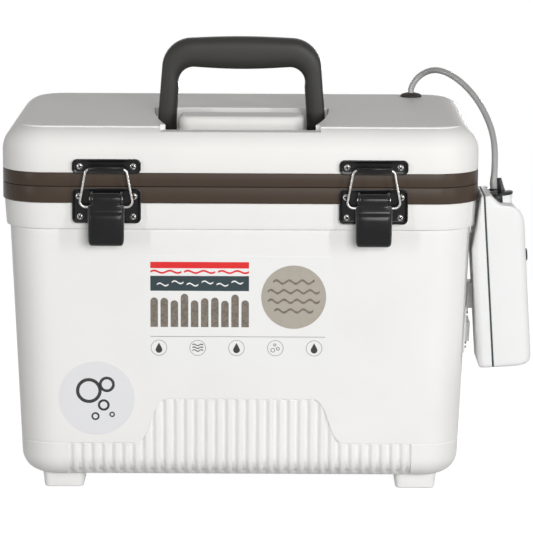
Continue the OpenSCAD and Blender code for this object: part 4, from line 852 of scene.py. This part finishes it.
# centre, radius and heights of the seats under knob and nozzle, and of the cuts for them
seats = ((knobAt, 8.4, -7, 0), (nozzleAt, 5.4, -7, 0))
cuts = ((knobAt, 10, 0, 12), (nozzleAt, 6, 0, 12), (knobAt, 2.3, -20, 3), (nozzleAt, 3.1, -12, 3))
for name, outer, node in (("pumpInnerCase", False, "pump_inner_case"),
                          ("pumpOuterCase", True, "pump_outer_case")):
    case = pumpHalf(name, outer, 0, pumpWhite)
    combine(case, pumpHalf("hollow", outer, pump["wall"], pumpWhite))
    if outer:
        for spot, radius, low, high in seats:
            combine(case, cylinderAt(radius, low, high, moveTo(spot)), "UNION")
        for spot, radius, low, high in cuts:
            combine(case, cylinderAt(radius, low, high, moveTo(spot)))
        combine(case, cylinderAt(5.35, -8, 6, moveTo(buttonAt) @ outX), angle=40)
    case.data.transform(pumpFrame)
    shade(case, 40)
    fit(case, node, "tub")
seamStart, seamEnd = pump["seam"], pump["seam"] + pump["seamT"]
rings = [pumpRing(z, seamStart, seamEnd, 0.2, 0.2, pump["w"] / 2 - caseRound(z) - 0.5)
         for z in (0.5, 3, 8, 60, 92, 112, 120, 126, 130, 133.6, 134.5)]
gasket = loft("pumpGasket", rings, seamRubber, matrix=pumpFrame)
core = [pumpRing(z, seamStart - 1, seamEnd + 1, 0.2, 0.2, pump["w"] / 2 - 2.6) for z in (2.6, 60, 132.4)]
combine(gasket, loft("core", core, seamRubber, matrix=pumpFrame))
fit(gasket, "pump_gasket", "tub")


def knob():
    place = moveTo(knobAt)
    disc = [(0.2, 0.35), (8.6, 0.35), (9, 0.7), (9, 1.95), (8.6, 2.35), (3, 2.45), (0.2, 2.45)]
    shaft = [(0.2, -9), (1.8, -9), (2, -8.6), (2, 0.6), (0.2, 0.6)]
    parts = [lathe("disc", disc, blackPlastic, place, steps=48),
             lathe("shaft", shaft, blackPlastic, place, steps=24)]
    side = [(-8.2, 2), (-7.8, 13.2), (-7.2, 13.8), (-6, 14), (-5, 13.6), (-3.8, 12.4), (3, 6.2), (8.2, 2.2),
            (8.2, 2)]
    fin = loft("fin", [[(x, y, z) for y, z in side] for x in (-1.6, 1.6)], blackPlastic)
    settle(soften(fin, 0.5), 40)
    fin.data.transform(place @ turned(-14, "Z"))
    tongue = [(-7.4, 2.35), (-7.4, 1.6), (-0.4, -4.4), (-0.4, 2.35)]
    pointer = loft("pointer", [[(x, y, z) for x, z in tongue] for y in (-9.6, -17)], blackPlastic)
    settle(soften(pointer, 0.4), 40)
    bridge = [(-7.4, -17), (-0.4, -17), (-0.4, -4), (-7.4, -4)]
    top = loft("bridge", [[(x, y, z) for x, y in bridge] for z in (1.45, 2.35)], blackPlastic)
    settle(soften(top, 0.25), 40)
    for part in (pointer, top):
        part.data.transform(place)
    obj = join("pumpKnob", parts + [fin, pointer, top])
    obj.data.transform(pumpFrame)
    shade(obj, 40)
    return fit(obj, "pump_knob", "knob")


knob()
nozzleSide = [(1.5, -6), (3, -6), (3, -0.2), (4.7, 0), (5, 0.35), (5, 1.5), (4.4, 2.1), (3.4, 2.45),
              (1.5, 2.5)]
nozzle = lathe("pumpNozzle", nozzleSide, blackPlastic, local(nozzleAt), steps=32)
fit(nozzle, "pump_nozzle", "tub")
buttonSide = [(0.2, -5), (6.2, -5), (6.5, -4.7), (6.5, -2.4), (5, -2.3), (5, 1.6), (4.7, 2.3), (3.8, 2.65),
              (2.2, 2.5), (0.2, 2.4)]
button = lathe("pumpButton", buttonSide, blackPlastic, local(buttonAt, outX), steps=36)
fit(button, "pump_button", "button")
print("pump built")

# prints on the front: plain bars, reeds, waves and bubbles, on the two films
frontFrame = moveTo((0, -halfSizes(12)[1], 12)) @ turned(box["draft"] + 90, "X")
label = {"film": 0.2, "inkT": 0.05, "left": -69, "right": 7, "red": (167.4, 172.4), "redWave": 164.6,
         "teal": (149.6, 161.4), "reedsLow": 121, "reedsTop": 147.4, "rule": (113.2, 113.7), "ringsZ": 104.5,
         "disc": (41.5, 145, 25), "corner": (-111, 64, 29.5)}
filmTop = 0.02 + label["film"]
discTop = 0.24 + label["film"]
printed = []


def film(name, outline, low, high, mat, node):
    obj = prism(name, outline, low, high, mat, frontFrame)
    fit(obj, node, "tub")


def ink(outline, mat, low=filmTop):
    printed.append((prism("ink", outline, low - 0.01, low + label["inkT"], mat, frontFrame), mat))


def hoop(cx, cz, r, width, mat, low):
    high = low + label["inkT"]
    rings = [[(x, z, y) for x, z in circle(cx, cz, q, 44)]
             for q, y in ((r, low), (r, high), (r - width, high), (r - width, low))]
    printed.append((loft("ink", rings, mat, closed=True, matrix=frontFrame), mat))


def wave(x0, x1, z, rise, turns, thick, mat, low=filmTop):
    steps = int(14 * turns)
    up = [(x0 + (x1 - x0) * k / steps, z + rise * math.sin(tau * turns * k / steps))
          for k in range(steps + 1)]
    outline = [(x, y - thick / 2) for x, y in up] + [(x, y + thick / 2) for x, y in reversed(up)]
    ink(outline, mat, low)


def bar(x0, x1, z0, z1, mat):
    ink([(x0, z0), (x1, z0), (x1, z1), (x0, z1)], mat)


left, right = label["left"], label["right"]
sheet = [(x - 1, z + 132) for x, z in roundedOutline(146, 90, 1.5, 4)]
film("squareSheet", sheet, 0.02, filmTop, sheetFilm, "square_sticker")
film("roundSheet", circle(*label["disc"], 72), 0.24, discTop, taupeInk, "round_sticker")
film("cornerSheet", circle(*label["corner"], 72), 0.02, filmTop, paleFilm, "corner_sticker")
bar(left, right, *label["red"], redInk)  # solid bar with three waves under it
for k in range(3):
    wave(left + 26 * k, left + 26 * k + 24, label["redWave"], 0.9, 2, 1.5, redInk)
bar(left, right, *label["teal"], tealInk)
tealMid = sum(label["teal"]) / 2
for k in range(6):
    start = left + 5 + 11.5 * k
    z = tealMid + (0.9 if k % 2 else -0.9)
    wave(start, start + 9, z, 1.0, 1, 1.1, sheetFilm, filmTop + label["inkT"])
for k in range(10):  # reeds of uneven height
    x, low, top = left + 7.8 * k, label["reedsLow"], label["reedsTop"] - 5.5 * abs(math.sin(1.9 * k + 0.6))
    r = 2.9
    ink([(x, low), (x + 2 * r, low)] + arcPoints(x + r, top - r, r, 0, 180, 8), taupeDark)
bar(left, 66, *label["rule"], greyInk)
cz = label["ringsZ"]
for k in range(5):  # five small rings with a drop, waves or bubbles inside
    cx = -62.5 + 30 * k
    hoop(cx, cz, 6.3, 0.45, greyInk, filmTop)
    if k % 2 == 0:
        ink([(cx, cz + 4.1)] + arcPoints(cx, cz - 1.5, 2.6, 25, -200, 15), blackInk)
    elif k == 1:
        for j in range(3):
            wave(cx - 4.2, cx + 4.2, cz - 2.1 + 2.2 * j, 0.6, 1.5, 0.8, blackInk)
    else:
        for dx, dz, r in ((-2, -1.6, 1.7), (1.9, -0.4, 1.4), (-0.4, 2.6, 1.1)):
            hoop(cx + dx, cz + dz, r, 0.45, blackInk, filmTop)
for k, half in enumerate((16, 20, 20, 15)):  # dark waves in the round print
    cx = label["disc"][0]
    wave(cx - half, cx + half, 157 - 7.6 * k, 1.3, half / 5, 1.9, taupeDark, discTop)
bubbles = ((-6, 4, 10, 2.6), (8, 9, 6.2, 2.2), (5.5, -7.5, 4.6, 1.8), (-1, -16.5, 3.2, 1.4),
           (12, -15, 2.2, 1.1))
for dx, dz, r, width in bubbles:
    hoop(label["corner"][0] + dx, 66 + dz, r, width, blackInk, filmTop)
byInk = {}
for part, mat in printed:
    byInk.setdefault(mat.name, []).append(part)
for inkName, parts in byInk.items():
    obj = join("print" + inkName[0].upper() + inkName[1:], parts)
    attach(obj, "tub")
print("prints laid")

# the pieces carried over from the model, with softened edges
carried = {
    "tub_foam": (foamCream, 0, "foam"), "tub_liner": (linerWhite, 1.2, "white_shell"),
    "lid_foam": (foamCream, 0, "foam"), "lid_liner": (linerWhite, 1.0, "white_shell"),
    "lid_seal": (softRubber, 0.6, "rubber"), "hinge_leaves_tub": (dullSteel, 0.4, "bright_steel"),
    "hinge_leaves_lid": (dullSteel, 0.4, "bright_steel"), "hinge_pins": (brightSteel, 0.4, "bright_steel"),
    "hinge_screws_tub": (brightSteel, 0.25, "bright_steel"),
    "hinge_screws_lid": (brightSteel, 0.25, "bright_steel"),
    "handle_pins": (dullSteel, 0.3, "bright_steel"), "pump_bracket": (pumpWhite, 0.4, "white_shell"),
    "bracket_screws": (brightSteel, 0.2, "bright_steel"), "pump_clip": (pumpWhite, 0.4, "white_shell"),
    "button_spring": (brightSteel, 0.2, "bright_steel"), "pump_motor": (dullSteel, 0.6, "bright_steel"),
    "pump_head": (blackPlastic, 0.8, "black_plastic"), "pump_tube": (clearHose, 0, "hose"),
    "pump_board": (greenBoard, 0.2, "circuit_board"), "battery_cells": (cellWrap, 1.0, "cell"),
    "battery_contacts": (brightSteel, 0.15, "bright_steel"),
    "case_screws": (brightSteel, 0.2, "bright_steel"),
}
for node, (mat, width, slot) in carried.items():
    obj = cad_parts[node]
    obj.data.materials.clear()
    obj.data.materials.append(mat)
    shade(obj, 32)
    if width:
        soften(obj, width)
print("carried pieces finished")

# studio: a wide soft light in front, a strip at each side, a low light behind, a white surround and a floor
studio = {"front": (0.6, -2.5, 0.72, 1.1, 37.5), "rightStrip": (1.35, -1.25, 0.5, 0.1, 7.5),
          "leftStrip": (-1.6, -1.5, 0.5, 0.1, 7.5), "back": (0.3, 2.6, 0.12, 0.9, 24), "surround": 0.2,
          "floor": 0.4, "floorR": 900, "floorLift": 0.93}


def softLight(name, x, y, z, size, watts, tall=1.0):
    lamp = bpy.data.lights.new(name, "AREA")
    lamp.shape, lamp.size, lamp.size_y, lamp.energy = "RECTANGLE", size, size * tall, watts
    obj = bpy.data.objects.new(name, lamp)
    aim = Vector((0, 0, 0.18)) - Vector((x, y, z))
    obj.matrix_world = Matrix.Translation((x, y, z)) @ aim.to_track_quat("-Z", "Y").to_matrix().to_4x4()
    bpy.context.scene.collection.objects.link(obj)


softLight("frontLight", *studio["front"], tall=0.8)
softLight("backLight", *studio["back"], tall=0.25)
softLight("rightStrip", *studio["rightStrip"], tall=9)
softLight("leftStrip", *studio["leftStrip"], tall=9)
world = bpy.data.worlds.new("surround")
bpy.context.scene.world = world
world.use_nodes = True
wn, wl = world.node_tree.nodes, world.node_tree.links


def seenDirectly(nodes, links):
    path = nodes.new("ShaderNodeLightPath").outputs
    seen = path["Is Camera Ray"]
    for other in ("Is Glossy Ray", "Is Transmission Ray"):
        either = nodes.new("ShaderNodeMath")
        either.operation = "MAXIMUM"
        links.new(seen, either.inputs[0])
        links.new(path[other], either.inputs[1])
        seen = either.outputs[0]
    return seen


plainLight = put(wn["Background"], {"Color": (1, 1, 1, 1), "Strength": studio["surround"]})
whiteSeen = put(wn.new("ShaderNodeBackground"), {"Color": (1, 1, 1, 1), "Strength": 1})
mixWorld = wn.new("ShaderNodeMixShader")
wl.new(seenDirectly(wn, wl), mixWorld.inputs["Fac"])
wl.new(plainLight.outputs[0], mixWorld.inputs[1])
wl.new(whiteSeen.outputs[0], mixWorld.inputs[2])
wl.new(mixWorld.outputs[0], wn["World Output"].inputs["Surface"])
floorMat = bpy.data.materials.new("floorWhite")
floorMat.use_nodes = True
fn, fl = floorMat.node_tree.nodes, floorMat.node_tree.links
plain = put(fn["Principled BSDF"], {"Base Color": (studio["floor"],) * 3 + (1,), "Roughness": 0.9,
                                    "Specular IOR Level": 0})
glow = fn.new("ShaderNodeEmission")
lift = put(fn.new("ShaderNodeMath"), {1: studio["floorLift"]})
lift.operation = "MULTIPLY"
fl.new(seenDirectly(fn, fl), lift.inputs[0])
fl.new(lift.outputs[0], glow.inputs["Strength"])
both = fn.new("ShaderNodeAddShader")
fl.new(plain.outputs[0], both.inputs[0])
fl.new(glow.outputs[0], both.inputs[1])
fl.new(both.outputs[0], fn["Material Output"].inputs["Surface"])
floor = prism("floor", circle(0, 0, studio["floorR"], 96), -6, -0.5, floorMat)
print("lights and floor set")
